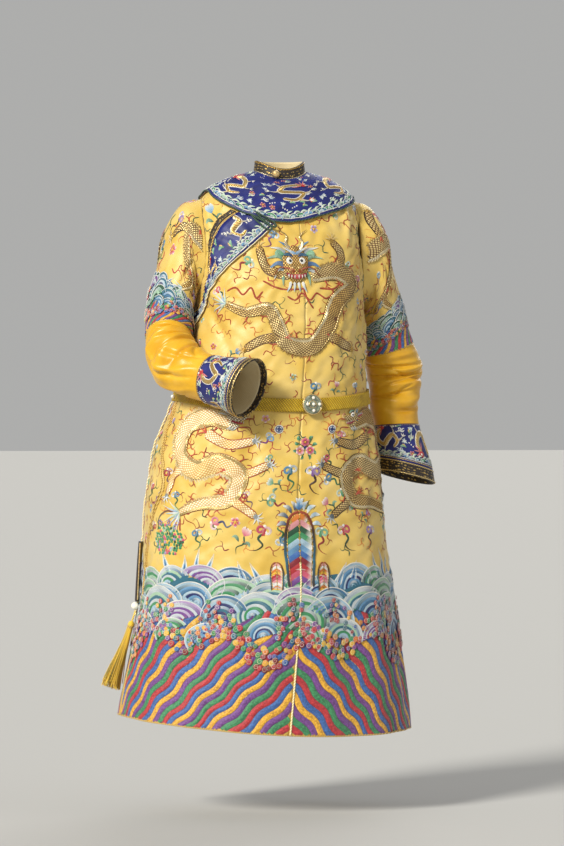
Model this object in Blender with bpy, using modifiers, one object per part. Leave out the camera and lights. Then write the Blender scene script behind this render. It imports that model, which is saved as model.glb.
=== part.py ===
"""A dragon robe with its belt, as worn by a quarter-scale costume figure.

The robe is hollow: front and back panels, sleeves, horseshoe cuffs, a cape collar over the
shoulders, a stand collar, the band and trim of the overlap, a woven belt with a round buckle,
and the belt's pendant. +Z is up, the front faces -Y, and the wearer's left side is +X. The
origin is the middle of the neck opening, where the shoulders carry the robe.
"""

import math

import bmesh
import bpy
import numpy as np
from mathutils import Vector

MM = 0.001  # the tables and sizes below are in millimetres

CLOTH = 1.2  # silk, interlining and silk together
BAND = 1.0  # embroidered bands sewn on the cloth
TRIM = 0.8  # brocade edging
SEAM = 0.3  # clear space between two pieces at a seam
SLEEVE_SEAM = 0.5  # along a sleeve's middle, which leaves 0.3 where its seams slant

LEFT, BACK, RIGHT = 0.0, 90.0, 180.0  # degrees round the body; the front is at -90


def table(columns, rows):
    """A table with named columns, as one array for each column."""
    values = np.array(rows, float)
    return {name: values[:, i] for i, name in enumerate(columns.split())}


# Sections of the body from the hem up to the neck. forward moves a section to the front,
# corner rounds a section out between its axes, slant lifts the wearer's right side and lowers
# the left, and dip lowers the front.
BODY = table(
    "height middle forward half_width front back corner slant dip",
    [
        (-312.8, -5.8, 0.0, 86.2, 63.5, 62.0, 0.02, 4.7, 4.5),
        (-298.0, -5.2, 0.0, 84.4, 61.5, 60.5, 0.02, 3.9, 3.6),
        (-277.0, -4.4, 0.0, 80.7, 59.0, 58.5, 0.03, 2.7, 2.4),
        (-244.0, -3.7, 0.0, 75.2, 56.5, 56.0, 0.03, 1.2, 0.9),
        (-226.0, -4.1, 0.0, 73.2, 55.6, 55.0, 0.04, 0.5, 0.4),
        (-205.0, -5.0, 0.0, 71.2, 55.0, 54.3, 0.04, 0.1, 0.1),
        (-185.0, -5.5, 0.0, 70.0, 54.6, 53.4, 0.04, 0.0, 0.0),
        (-163.0, -4.8, 0.0, 67.2, 53.6, 51.6, 0.04, 0.0, 0.0),
        (-147.0, -3.9, 0.0, 64.0, 52.0, 49.4, 0.04, 0.0, 0.0),
        (-134.0, -2.4, 0.0, 59.6, 49.8, 46.4, 0.04, 0.0, 0.0),
        (-124.0, -1.4, 0.0, 56.6, 48.8, 44.8, 0.04, 0.0, 0.0),
        (-113.0, -0.6, 0.0, 55.0, 49.4, 44.6, 0.04, 0.0, 0.0),
        (-92.0, 1.0, 0.0, 51.8, 48.4, 44.4, 0.05, 0.0, 0.0),
        (-66.0, 1.9, 0.0, 50.8, 45.8, 44.0, 0.06, 0.0, 0.0),
        (-46.0, 1.8, 0.0, 50.8, 42.0, 41.5, 0.07, 0.0, 0.0),
        (-31.0, 1.7, 0.0, 50.6, 37.4, 37.0, 0.07, 0.0, 0.0),
        (-20.0, 1.6, 0.4, 50.0, 32.4, 33.0, 0.06, 0.0, 0.0),
        (-12.0, 1.6, 1.0, 48.0, 28.0, 29.0, 0.05, 0.0, 0.3),
        (-6.0, 1.6, 2.0, 44.4, 24.4, 25.5, 0.03, 0.0, 0.9),
        (-1.5, 1.6, 3.0, 39.4, 21.8, 22.6, 0.02, 0.0, 1.8),
        (2.4, 1.7, 4.2, 33.2, 19.8, 19.6, 0.01, 0.0, 3.0),
        (5.2, 1.8, 5.4, 26.6, 17.8, 16.8, 0.0, 0.0, 3.9),
        (7.2, 1.9, 6.4, 20.2, 15.6, 14.6, 0.0, 0.0, 4.7),
        (8.4, 2.0, 7.0, 15.4, 13.8, 13.2, 0.0, 0.0, 5.2),
    ],
)

# Soft standing folds of the skirt and of the cloth held by the belt: where each lies round the
# body, how wide it is, how far it stands out (or in, below 0) and the heights it runs between.
BODY_FOLDS = table(
    "angle half_angle out low high",
    [
        (-150, 13, 1.5, -319, -150),
        (-122, 11, -1.3, -319, -190),
        (-62, 13, -1.2, -319, -175),
        (-36, 12, -1.4, -319, -190),
        (-10, 14, 1.8, -319, -160),
        (22, 12, -1.6, -319, -190),
        (50, 13, 1.9, -319, -160),
        (86, 15, 2.2, -319, -150),
        (124, 13, -1.8, -319, -200),
        (152, 12, 1.9, -319, -170),
        (-64, 10, 0.9, -116, -84),
        (-34, 9, -0.9, -118, -88),
        (40, 12, 1.0, -118, -70),
        (66, 10, -1.0, -118, -74),
        (90, 9, 1.1, -118, -60),
        (114, 10, -1.0, -118, -74),
        (142, 12, 1.0, -118, -70),
    ],
)

# Sleeve sections from the shoulder to the hand. outer is the point on the elbow's side, inner
# the point across from it, deep half the size across those two, and lean how far the upper
# (or front) edge runs ahead of the lower along the arm.
SLEEVE_COLUMNS = "outer_x outer_y outer_z inner_x inner_y inner_z deep lean"
LEFT_SLEEVE = table(
    SLEEVE_COLUMNS,
    [
        (56.2, 1.0, -9.2, 54.2, 0.8, -67.2, 18.6, 0.0),
        (64.0, 2.0, -20.0, 54.6, 2.0, -70.0, 18.6, 0.0),
        (69.4, 3.0, -40.0, 54.8, 4.5, -75.0, 18.2, 0.0),
        (77.8, 6.0, -61.0, 55.0, 7.0, -82.0, 17.6, 0.0),
        (84.4, 9.0, -81.0, 56.4, 9.5, -93.5, 17.0, 0.0),
        (88.4, 10.0, -89.6, 58.5, 11.0, -98.5, 16.6, 0.0),
        (94.3, 11.0, -103.5, 61.0, 11.0, -107.5, 16.0, 0.0),
        (93.6, 11.0, -114.5, 62.6, 11.0, -116.5, 15.4, 0.0),
        (91.6, 11.0, -127.0, 63.0, 11.0, -128.0, 14.6, 0.0),
        (92.1, 10.0, -139.0, 65.1, 10.0, -139.6, 14.0, 0.0),
        (96.6, 9.5, -154.0, 65.2, 9.5, -150.0, 15.0, 0.0),
        (100.4, 9.0, -167.0, 65.4, 9.0, -158.4, 16.0, 0.0),
        (101.6, 8.5, -174.6, 66.3, 8.5, -166.0, 16.3, 0.0),
    ],
)
RIGHT_SLEEVE = table(
    SLEEVE_COLUMNS,
    [
        (-54.6, 0.0, -10.0, -50.6, 0.0, -67.2, 18.4, 0.0),
        (-61.6, -0.5, -20.0, -51.2, -1.0, -70.0, 18.4, 0.0),
        (-67.2, -2.0, -40.0, -51.6, -3.0, -75.0, 18.4, 0.0),
        (-74.0, -3.5, -61.0, -51.6, -5.0, -81.0, 18.0, 0.0),
        (-77.2, -5.0, -77.0, -51.4, -9.5, -86.5, 17.6, 0.0),
        (-78.6, -7.5, -88.0, -52.4, -14.5, -89.5, 17.2, 0.0),
        (-79.6, -14.0, -98.5, -53.0, -20.0, -92.0, 17.0, 0.0),
        (-78.6, -24.0, -110.0, -51.0, -25.5, -94.5, 16.6, 0.0),
        (-70.5, -38.0, -115.5, -46.0, -31.5, -101.5, 15.2, 0.0),
        (-59.5, -52.7, -116.3, -39.5, -39.8, -109.3, 14.1, 0.0),
        (-52.2, -66.1, -119.3, -30.2, -51.5, -111.8, 15.6, -1.5),
        (-47.3, -75.9, -121.5, -22.7, -59.3, -113.6, 17.2, -3.0),
        (-45.4, -79.2, -122.2, -20.2, -62.4, -114.3, 17.7, -3.5),
    ],
)
BAND_SEAM, CUFF_SEAM, TRIM_SEAM, HAND_END = 6, 10, 12, 13  # where each sleeve piece ends

# Creases of the plain lower sleeves: the section each lies at, where it runs round the sleeve,
# how far it reaches both ways, how far it stands out, and how it slants round the sleeve.
CREASE_COLUMNS = "section round half_section half_round out slant"
LEFT_CREASES = table(
    CREASE_COLUMNS,
    [
        (6.5, -80, 0.25, 90, -1.1, 0.10),
        (7.0, -60, 0.28, 80, 1.0, -0.12),
        (7.5, -90, 0.30, 90, -1.2, 0.15),
        (8.0, -70, 0.30, 80, 1.0, 0.10),
        (8.5, -100, 0.30, 85, -1.0, -0.12),
        (9.1, -60, 0.30, 80, 0.8, 0.10),
        (6.8, 100, 0.35, 70, 1.0, 0.20),
        (7.6, 90, 0.40, 80, -1.1, -0.10),
        (8.4, 110, 0.35, 70, 0.9, 0.15),
        (4.6, 160, 0.50, 60, -1.1, 0.20),
    ],
)
RIGHT_CREASES = table(
    CREASE_COLUMNS,
    [
        (6.6, -60, 0.32, 75, -1.4, 0.25),
        (7.15, -50, 0.30, 75, 1.4, 0.30),
        (7.7, -45, 0.30, 70, -1.6, 0.30),
        (8.25, -50, 0.32, 70, 1.4, 0.30),
        (8.8, -40, 0.32, 65, -1.3, 0.35),
        (9.4, -30, 0.35, 60, 0.8, 0.30),
        (7.2, 110, 0.40, 60, -1.0, 0.20),
        (8.2, 120, 0.45, 60, 1.0, 0.20),
        (4.6, 150, 0.50, 60, -1.1, 0.20),
    ],
)

ARMPIT, SHOULDER = -66.0, -7.0  # the heights that the armholes run between
ARMHOLE_ANGLE = 28.0  # how far an armhole reaches forwards and back, in degrees
SLEEVE_CLEAR, BELT_ROOM = 1.6, 2.4  # room between a sleeve and the body, and more at the belt

# The cape collar's lower edge: its height at angles round the body, with a point over each
# shoulder and a curved edge in front and behind.
CAPE_EDGE = table(
    "angle height",
    [
        (-180, -3.0),
        (-165, -4.2),
        (-150, -7.4),
        (-136, -11.4),
        (-118, -17.6),
        (-100, -22.0),
        (-85, -21.6),
        (-70, -18.4),
        (-53, -14.4),
        (-35, -10.4),
        (-18, -7.0),
        (0, -4.6),
        (20, -8.0),
        (45, -15.0),
        (70, -20.5),
        (90, -22.5),
        (110, -20.5),
        (135, -14.5),
        (160, -7.0),
        (180, -3.0),
    ],
)

# The overlap's band from the cape collar to the underarm: the angles of its upper and lower
# edges at each height of the middle line, which runs down the front to the wearer's right.
OVERLAP = table(
    "upper_angle upper_height lower_angle lower_height",
    [
        (-130.0, -14.6, -101.0, -23.2),
        (-138.0, -19.0, -107.0, -28.0),
        (-144.0, -25.0, -116.0, -35.0),
        (-147.0, -31.5, -126.0, -42.5),
        (-148.5, -39.0, -135.0, -49.0),
        (-149.5, -47.5, -143.0, -56.0),
        (-153.0, -57.5, -150.5, -65.0),
        (-160.5, -68.5, -158.0, -75.0),
        (-170.0, -73.5, -167.0, -82.0),
    ],
)

# The edge of the front over the wearer's right side, where it closes on the back.
CLOSURE = table(
    "height angle",
    [
        (-320, 180),
        (-225, 181),
        (-206, 185),
        (-194, 191),
        (-176, 199),
        (-153, 192),
        (-124, 182),
        (-66, 180),
        (9, 180),
    ],
)

# The seam down the middle of the front, which opens into a vent at the hem.
FRONT_SEAM = table("height angle", [(-320, -91.5), (-230, -86), (-130, -84), (9, -84)])

BELT_HEIGHT, BELT_DIP = -121.4, 6.4  # its middle at the sides, and how far the front hangs
BELT_WIDTH, BELT_THICK, BELT_CLEAR = 8.0, 1.2, 0.5
BELT_GRIP = 11.0  # the cloth lies flat this far above and below the belt's middle
BUCKLE_RADIUS, BUCKLE_THICK, BUCKLE_ANGLE = 6.0, 1.8, -79.0
STUD_RADIUS, STUD_RING = 0.95, 3.7  # the pearls on the buckle
PEARL_RADIUS, PEARL_SPACING, PEARL_ANGLE = 1.15, 3.9, 181.0  # the pearls at the belt's side
BUCKLE_SEAT = 0.5  # a flat back on the belt's round front
CAPE_CLEAR, CAPE_FLARE = 0.3, 0.7
STAND_HEIGHT, STAND_GAP, STAND_LEAN, STAND_OPENING = 6.8, 0.4, 0.06, 250.0
BUTTON_RADIUS, BUTTON_ANGLE, BUTTON_RISE = 2.4, -110.0, 3.2

PENDANT_ANGLE = 166.0
PENDANT_CORD = 0.5  # radius
CASE_TOP, CASE_LENGTH, CASE_WIDTH, CASE_THICK = -207.5, 36.5, 4.7, 3.0
CASE = table(  # how wide the case is along its length
    "share width", [(0, 0.8), (0.02, 0.94), (0.3, 1.0), (0.7, 0.95), (0.98, 0.84), (1.0, 0.7)]
)
BEAD_RADIUS = 2.3
TASSEL_END, TASSEL_LENGTH, TASSEL_CLEAR = -296.0, 48.5, 7.5
TASSEL_HEAD = table(  # the cord above the head, and the head that the strands are bound into
    "radius along", [(0.45, 0.0), (0.45, 6.5), (1.5, 7.1), (1.8, 9.5), (1.5, 11.1)]
)
TASSEL_SIDES, TASSEL_FLARE, TASSEL_SWAY = 12, 2.4, 0.5
STRAND_RINGS = (1.05, 0.55)  # the radii that part the head's underside into rings of strands
STRAND_GAP, STRAND_STEPS, SHORTEST_STRAND = 0.08, 3, 0.86


def spline(knots, values, at):
    """Values at points between knots, on a smooth curve through all of them."""
    at = np.asarray(at, float)
    span = np.diff(knots)
    slope = np.diff(values, axis=0) / span.reshape((-1,) + (1,) * (values.ndim - 1))
    before = span[:-1].reshape((-1,) + (1,) * (values.ndim - 1))
    after = span[1:].reshape(before.shape)
    inner = (slope[:-1] * after + slope[1:] * before) / (before + after)
    tangent = np.concatenate([slope[:1], inner, slope[-1:]])
    i = np.clip(np.searchsorted(knots, at, side="right") - 1, 0, len(span) - 1)
    shape = at.shape + (1,) * (values.ndim - 1)
    h = span[i].reshape(shape)
    u = ((at - knots[i]) / span[i]).reshape(shape)
    return (
        values[i] * (1 + 2 * u) * (1 - u) ** 2
        + tangent[i] * h * u * (1 - u) ** 2
        + values[i + 1] * u * u * (3 - 2 * u)
        - tangent[i + 1] * h * u * u * (1 - u)
    )


def bump(distance):
    """1 at 0, falling smoothly to 0 at 1 and beyond."""
    return np.where(np.abs(distance) < 1, np.cos(np.clip(distance, -1, 1) * math.pi / 2) ** 2, 0.0)


def turn(angle):
    """An angle in degrees brought to -180 to 180."""
    return (np.asarray(angle, float) + 180) % 360 - 180


RUN = np.concatenate(
    [[0], np.cumsum(np.hypot(np.diff(BODY["height"]), np.diff(BODY["half_width"])))]
)  # how far up the cloth each section of BODY lies, along the side
NECK_RUN = RUN[-1]
FINE_RUN = np.linspace(0, NECK_RUN, 400)
FINE_HEIGHT = spline(RUN, BODY["height"], FINE_RUN)


def run_at(height):
    """How far up the cloth a section of this height lies."""
    return np.interp(height, FINE_HEIGHT, FINE_RUN)


def belt_middle(angle):
    """The height of the belt's middle line."""
    front = np.maximum(0, -np.sin(np.radians(angle)))
    return BELT_HEIGHT - BELT_DIP * front**1.5


def body_folds(angle, height):
    """How far the folds move the body's cloth outwards. The belt holds the cloth flat."""
    out = np.zeros(np.broadcast(angle, height).shape)
    for i in range(len(BODY_FOLDS["angle"])):
        fold = {name: column[i] for name, column in BODY_FOLDS.items()}
        share = (height - fold["low"]) / (fold["high"] - fold["low"])
        if fold["high"] > BELT_HEIGHT:
            along = bump(2 * share - 1)
        else:  # a fold of the skirt, deepest at the hem
            along = np.cos(np.clip(share, 0, 1) * math.pi / 2) ** 1.5
        out = out + fold["out"] * along * bump(turn(angle - fold["angle"]) / fold["half_angle"])
    return out * (1 - bump((height - belt_middle(angle)) / BELT_GRIP))


def body_plain(angle, run):
    angle, run = np.broadcast_arrays(np.asarray(angle, float), np.asarray(run, float))
    row = {name: spline(RUN, column, run) for name, column in BODY.items()}
    c, s = np.cos(np.radians(angle)), np.sin(np.radians(angle))
    fold = body_folds(angle, row["height"])
    full = 1 + row["corner"] * np.sin(np.radians(2 * angle)) ** 2
    x = row["middle"] + (row["half_width"] * full + fold) * c
    y = (np.where(s < 0, row["front"], row["back"]) * full + fold) * s - row["forward"]
    z = row["height"] - row["slant"] * c - row["dip"] * np.maximum(0, -s) ** 2
    return np.stack([x, y, z], -1)


def unit(vectors):
    return vectors / np.linalg.norm(vectors, axis=-1, keepdims=True)


def slope_across(surface, u, v, u_step, v_step):
    """The unit normals of a surface given as a function of two values, from small steps."""
    du = surface(u + u_step, v) - surface(u - u_step, v)
    dv = surface(u, v + v_step) - surface(u, v - v_step)
    return unit(np.cross(du, dv))


def body_normal(angle, run):
    return slope_across(body_plain, angle, run, 0.5, 0.2)


def body(angle, run, lift=0.0):
    """Points lift millimetres outside the body's cloth."""
    return body_plain(angle, run) + np.asarray(lift)[..., None] * body_normal(angle, run)


def clear_of_body(points):
    """Sleeve points pressed out to where the body's cloth and the belt leave them room."""
    height = points[..., 2]
    row = {name: spline(RUN, column, run_at(height)) for name, column in BODY.items()}
    away = points[..., :2] - np.stack([row["middle"], -row["forward"]], -1)
    depth = np.where(away[..., 1] < 0, row["front"], row["back"])
    across, ahead = away[..., 0] / row["half_width"], away[..., 1] / depth
    angle = np.arctan2(ahead, across)
    full = 1 + row["corner"] * np.sin(2 * angle) ** 2
    belt = BELT_ROOM * bump((height - belt_middle(np.degrees(angle))) / BELT_GRIP)
    nearest = full + (SLEEVE_CLEAR + belt) / depth
    push = np.maximum(1.0, nearest / np.hypot(across, ahead))
    moved = points.copy()
    moved[..., :2] += away * (push - 1)[..., None]
    return moved


def sleeve_rings(sections, side, around):
    """The armhole and every section of a sleeve, at the angles around it."""
    cos, sin = np.cos(np.radians(around)), np.sin(np.radians(around))
    low, high = run_at(ARMPIT), run_at(SHOULDER)
    run = low + (high - low) * (1 + cos) / 2
    middle_angle = LEFT if side > 0 else RIGHT
    away = ARMHOLE_ANGLE * np.sqrt(np.maximum(0, 1 - cos**2)) * np.sign(sin) * side
    armhole = body_plain(middle_angle + away, run) + [side * SEAM, 0, 0]
    outer = np.stack([sections["outer_" + axis] for axis in "xyz"], -1)
    inner = np.stack([sections["inner_" + axis] for axis in "xyz"], -1)
    middle = (outer + inner) / 2
    start = armhole.mean(0)
    heading = unit(np.gradient(np.vstack([start, middle]), axis=0))[1:]
    half = (outer - inner) / 2
    across = unit(np.cross(half, heading)) * sections["deep"][:, None] * side
    ahead = heading * sections["lean"][:, None]
    rings = (
        middle[:, None]
        + half[:, None] * cos[None, :, None]
        + (across + ahead)[:, None] * sin[None, :, None]
    )
    return np.concatenate([armhole[None], clear_of_body(rings)])


RING_STEP = 7.5  # degrees between the points that a sleeve's rings are worked out at


class Sleeve:
    """One sleeve's surface: a point for each section number and angle round the sleeve."""

    def __init__(self, sections, creases, side):
        self.side = side
        self.creases = creases
        self.around = np.arange(0.0, 360.0, RING_STEP)
        self.rings = sleeve_rings(sections, side, self.around)
        middles = self.rings.mean(1)
        self.knots = np.concatenate(
            [[0], np.cumsum(np.linalg.norm(np.diff(middles, axis=0), axis=1))]
        )

    def plain(self, around, section):
        around, section = np.broadcast_arrays(
            np.asarray(around, float), np.asarray(section, float)
        )
        numbers = np.arange(len(self.knots))
        at = np.interp(section, numbers, self.knots)
        place = (around % 360) / RING_STEP
        low = np.floor(place).astype(int)
        share = (place - low)[..., None]
        grid = spline(self.knots, self.rings, at.ravel())
        index = np.arange(at.size)

        def neighbour(step):
            column = (low.ravel() + step) % len(self.around)
            return grid[index, column].reshape(at.shape + (3,))

        a, b, c, d = (neighbour(step) for step in (-1, 0, 1, 2))  # joined by a smooth curve
        return b + share / 2 * (
            c - a + share * (2 * a - 5 * b + 4 * c - d + share * (3 * (b - c) + d - a))
        )

    def __call__(self, around, section, lift=0.0):
        around, section = np.broadcast_arrays(
            np.asarray(around, float), np.asarray(section, float)
        )
        out = np.zeros(around.shape) + lift
        for i in range(len(self.creases["section"])):
            crease = {name: column[i] for name, column in self.creases.items()}
            away = turn(around - crease["round"]) / crease["half_round"]
            along = (section - crease["section"] - crease["slant"] * away) / crease["half_section"]
            out = out + crease["out"] * bump(away) * bump(along)
        normal = slope_across(self.plain, around, section, 1.0, 0.02) * -self.side
        return self.plain(around, section) + normal * out[..., None]


def dress(piece, look):
    """Link a piece and give it its own material."""
    colour, roughness, metallic = look
    robe.objects.link(piece)
    material = bpy.data.materials.new(piece.name)
    material.use_nodes = True
    shader = material.node_tree.nodes["Principled BSDF"]
    shader.inputs["Base Color"].default_value = (*colour, 1)
    shader.inputs["Roughness"].default_value = roughness
    shader.inputs["Metallic"].default_value = metallic
    piece.data.materials.append(material)
    return piece


def make_wall(name, outside, inside, look, ring=False):
    """A closed wall between two grids of points. ring joins the last column to the first."""
    rows, columns = outside.shape[:2]
    shift = rows * columns
    mesh = bmesh.new()
    for point in np.concatenate([outside.reshape(-1, 3), inside.reshape(-1, 3)]) * MM:
        mesh.verts.new(point)
    mesh.verts.ensure_lookup_table()

    def face(*corners):
        mesh.faces.new([mesh.verts[corner] for corner in corners])

    wide = columns if ring else columns - 1
    for c in range(wide):
        left, right = c, (c + 1) % columns
        for r in range(rows - 1):
            a, b = r * columns + left, r * columns + right
            face(a, b, b + columns, a + columns)
            face(shift + a, shift + a + columns, shift + b + columns, shift + b)
        last = (rows - 1) * columns
        face(left, shift + left, shift + right, right)
        face(last + left, last + right, shift + last + right, shift + last + left)
    if not ring:
        for r in range(rows - 1):
            a, b = r * columns, (r + 1) * columns
            face(a, b, shift + b, shift + a)
            face(a + columns - 1, shift + a + columns - 1, shift + b + columns - 1, b + columns - 1)
    bmesh.ops.recalc_face_normals(mesh, faces=mesh.faces)
    data = bpy.data.meshes.new(name)
    mesh.to_mesh(data)
    mesh.free()
    data.shade_smooth()
    return dress(bpy.data.objects.new(name, data), look)


YELLOW = ((0.80, 0.55, 0.10), 0.45, 0.0)
ORANGE = ((0.78, 0.42, 0.04), 0.35, 0.0)
BLUE = ((0.02, 0.03, 0.22), 0.5, 0.0)
BROCADE = ((0.10, 0.07, 0.03), 0.5, 0.0)
WOVEN = ((0.75, 0.55, 0.03), 0.6, 0.0)
PEARL = ((0.85, 0.82, 0.76), 0.25, 0.0)
GILT = ((0.80, 0.60, 0.25), 0.3, 1.0)
JADE = ((0.45, 0.50, 0.36), 0.3, 0.0)
CORD = ((0.70, 0.62, 0.45), 0.7, 0.0)
LACQUER = ((0.02, 0.012, 0.01), 0.3, 0.0)
TASSEL = ((0.80, 0.58, 0.02), 0.6, 0.0)

PANEL_COLUMNS = 12


def side_angle(run, side, toward):
    """The angle of a panel's side edge: the side seam, then the armhole, then the shoulder."""
    low, high = run_at(ARMPIT), run_at(SHOULDER)
    share = np.clip((run - low) / (high - low), 0, 1)
    away = ARMHOLE_ANGLE * 2 * np.sqrt(share * (1 - share))
    if side > 0:
        return LEFT + toward * away
    height = np.interp(run, FINE_RUN, FINE_HEIGHT)
    return np.interp(height, CLOSURE["height"], CLOSURE["angle"]) - toward * away


def panel_runs():
    """The rows of a panel, close together round the armhole, where its edge turns."""
    low, high = run_at(ARMPIT), run_at(SHOULDER)
    skirt = np.linspace(0, low, 18, endpoint=False)
    armhole = low + (high - low) * (1 - np.cos(np.linspace(0, math.pi, 9))) / 2
    neck = np.linspace(high, NECK_RUN, 5)[1:]
    return np.concatenate([skirt, armhole, neck])


def make_panel(name, side, toward):
    """A quarter of the body from its centre seam to its side. toward is -1 for a front."""
    run = panel_runs()[:, None]
    height = np.interp(run, FINE_RUN, FINE_HEIGHT)
    front = np.interp(height, FRONT_SEAM["height"], FRONT_SEAM["angle"])
    centre = front if toward < 0 else np.full(run.shape, BACK)
    if side < 0:
        centre = centre % 360
    edge = side_angle(run, side, toward)
    across = np.sign(edge - centre)
    half_seam = np.degrees(SEAM / 2 / spline(RUN, BODY["back"], run))
    start, end = centre + across * half_seam, edge - across * half_seam
    angle = start + (end - start) * np.linspace(0, 1, PANEL_COLUMNS)[None, :]
    run = np.broadcast_to(run, angle.shape)
    return make_wall(name, body(angle, run), body(angle, run, -CLOTH), YELLOW)


def make_sleeve_part(name, sleeve, first, last, rows, look, around_count=20):
    """One piece of a sleeve, between two of its sections."""
    numbers = np.linspace(first, last, rows)
    length = np.diff(np.interp([first, last], np.arange(len(sleeve.knots)), sleeve.knots))[0]
    inset = SLEEVE_SEAM / 2 / length * (last - first)
    if first > 0:
        numbers[0] += inset
    numbers[-1] -= inset
    around = np.linspace(0, 360, around_count, endpoint=False)
    around, section = np.meshgrid(around, numbers)
    return make_wall(name, sleeve(around, section), sleeve(around, section, -CLOTH), look, ring=True)


def make_cape():
    """The cape collar, which stands off the shoulders a little more at its edge."""
    angle = np.linspace(-180, 180, 48, endpoint=False)[None, :]
    share = np.linspace(0, 1, 6)[:, None]
    top = NECK_RUN - 0.4
    edge = run_at(spline(CAPE_EDGE["angle"], CAPE_EDGE["height"], angle))
    run = edge * (1 - share) + top * share
    angle = np.broadcast_to(angle, run.shape)
    lift = CAPE_CLEAR + CAPE_FLARE * (1 - share) ** 2
    return make_wall(
        "cape_collar", body(angle, run, lift + BAND), body(angle, run, lift), BLUE, ring=True
    )


def make_stand_collar():
    """The stand collar round the neck, parted by a hair where it closes at the side front."""
    angle = np.linspace(STAND_OPENING - 359, STAND_OPENING - 1, 30)[None, :]
    share = np.linspace(0, 1, 3)[:, None]
    foot = body_plain(angle, NECK_RUN)
    middle = foot.mean((0, 1))
    spread = (foot - middle) * [1, 1, 0]
    rise = np.zeros(share.shape + (3,))
    rise[..., 2] = STAND_GAP + STAND_HEIGHT * share
    outside = foot - spread * STAND_LEAN * share[..., None] + rise
    return make_wall("stand_collar", outside, outside - BAND * unit(spread), BROCADE)


def overlap_points(across, along, lift):
    """Points over the overlap's band: across from its upper to its lower edge, and along it."""
    rows = np.arange(len(OVERLAP["upper_angle"]), dtype=float)
    at = along * rows[-1]
    edge = {name: spline(rows, column, at) for name, column in OVERLAP.items()}
    angle = edge["upper_angle"] * (1 - across) + edge["lower_angle"] * across
    height = edge["upper_height"] * (1 - across) + edge["lower_height"] * across
    return body(angle, run_at(height), lift)


def make_overlap(name, first, last, columns, look, thick):
    across, along = np.meshgrid(np.linspace(first, last, columns), np.linspace(0.0, 1.0, 16))
    return make_wall(
        name,
        overlap_points(across, along, SEAM + thick),
        overlap_points(across, along, SEAM),
        look,
    )


def belt_point(angle, up, lift):
    """A point on the belt: up the cloth from its middle line, and lift outside the cloth."""
    return body(angle, run_at(belt_middle(angle)) + up, BELT_CLEAR + lift)


def make_belt():
    angle = np.linspace(-180, 180, 64, endpoint=False)
    angle, up = np.meshgrid(angle, np.linspace(-BELT_WIDTH / 2, BELT_WIDTH / 2, 3))
    return make_wall(
        "belt", belt_point(angle, up, BELT_THICK), belt_point(angle, up, 0.0), WOVEN, ring=True
    )


def make_turned(name, profile, place, facing, look, steps=20):
    """A turned piece: a profile of (radius, height) pairs, top first, about where it faces."""
    data = bpy.data.meshes.new(name)
    points = [(radius * MM, 0, height * MM) for radius, height in profile]
    data.from_pydata(points, [(i, i + 1) for i in range(len(points) - 1)], [])
    piece = dress(bpy.data.objects.new(name, data), look)
    screw = piece.modifiers.new("Turn", "SCREW")
    screw.steps = screw.render_steps = steps
    screw.use_merge_vertices = True
    screw.merge_threshold = 0.00001
    piece.location = Vector(place) * MM
    piece.rotation_mode = "QUATERNION"
    piece.rotation_quaternion = Vector((0, 0, 1)).rotation_difference(Vector(facing))
    return piece


def ball(radius, steps=8):
    """The profile of a ball, from its top to its bottom."""
    turns = [math.pi * i / steps for i in range(steps + 1)]
    return [(max(0.0, radius * math.sin(a)), radius * math.cos(a)) for a in turns]


def place_and_facing(angle, up, lift):
    """A place on the belt and the way that the belt faces there."""
    near, far = belt_point(angle, up, 0.0), belt_point(angle, up, 1.0)
    facing = unit(far - near)
    return near + facing * (BELT_THICK + SEAM + lift), facing


def make_buckle():
    """The round buckle, a shallow cushion shape, with a pearl in its middle and four round it."""
    r, t = BUCKLE_RADIUS, BUCKLE_THICK
    profile = [(0, t), (r * 0.55, t), (r * 0.62, t * 0.8), (r * 0.8, t), (r * 0.95, t * 0.75)]
    profile += [(r, t * 0.4), (r * 0.96, 0), (0, 0)]
    place, facing = place_and_facing(BUCKLE_ANGLE, 0.0, 0.0)
    place = place + facing * BUCKLE_SEAT
    make_turned("buckle", profile, place, facing, JADE, 32)
    side = unit(np.cross([0.0, 0.0, 1.0], facing))
    rise = np.cross(facing, side)
    for i in range(5):
        a = math.radians(90 * i)
        ring = STUD_RING if i else 0.0
        spot = place + facing * (t + STUD_RADIUS + SEAM) + ring * (math.cos(a) * side + math.sin(a) * rise)
        make_turned(f"buckle_stud_{i + 1}", ball(STUD_RADIUS, 6), spot, facing, PEARL, 10)


def make_belt_pearls():
    for i in range(2):
        up = PEARL_SPACING * (0.5 - i)
        place, facing = place_and_facing(PEARL_ANGLE, up, PEARL_RADIUS)
        make_turned(f"belt_pearl_{i + 1}", ball(PEARL_RADIUS), place, facing, PEARL, 16)


def make_neck_button():
    """The ball button at the foot of the stand collar, on the overlap's side."""
    foot = body_plain(BUTTON_ANGLE, NECK_RUN)
    outward = unit(foot - body_plain(BUTTON_ANGLE + 180, NECK_RUN))
    place = foot + outward * (BUTTON_RADIUS + SEAM) + [0, 0, STAND_GAP + BUTTON_RISE]
    return make_turned("neck_button", ball(BUTTON_RADIUS), place, outward, GILT, 16)


def pendant_point(height, lift):
    """A point on the line that the pendant hangs in, lift outside the cloth."""
    return body(PENDANT_ANGLE, run_at(height), lift)


def make_tube(name, points, radius, look):
    """A round cord along a smooth line of points."""
    curve = bpy.data.curves.new(name, "CURVE")
    curve.dimensions = "3D"
    curve.bevel_depth = radius * MM
    curve.bevel_resolution = 2
    curve.use_fill_caps = True
    line = curve.splines.new("POLY")
    line.points.add(len(points) - 1)
    for spot, point in zip(line.points, points):
        spot.co = (*(Vector(point) * MM), 1)
    return dress(bpy.data.objects.new(name, curve), look)


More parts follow.
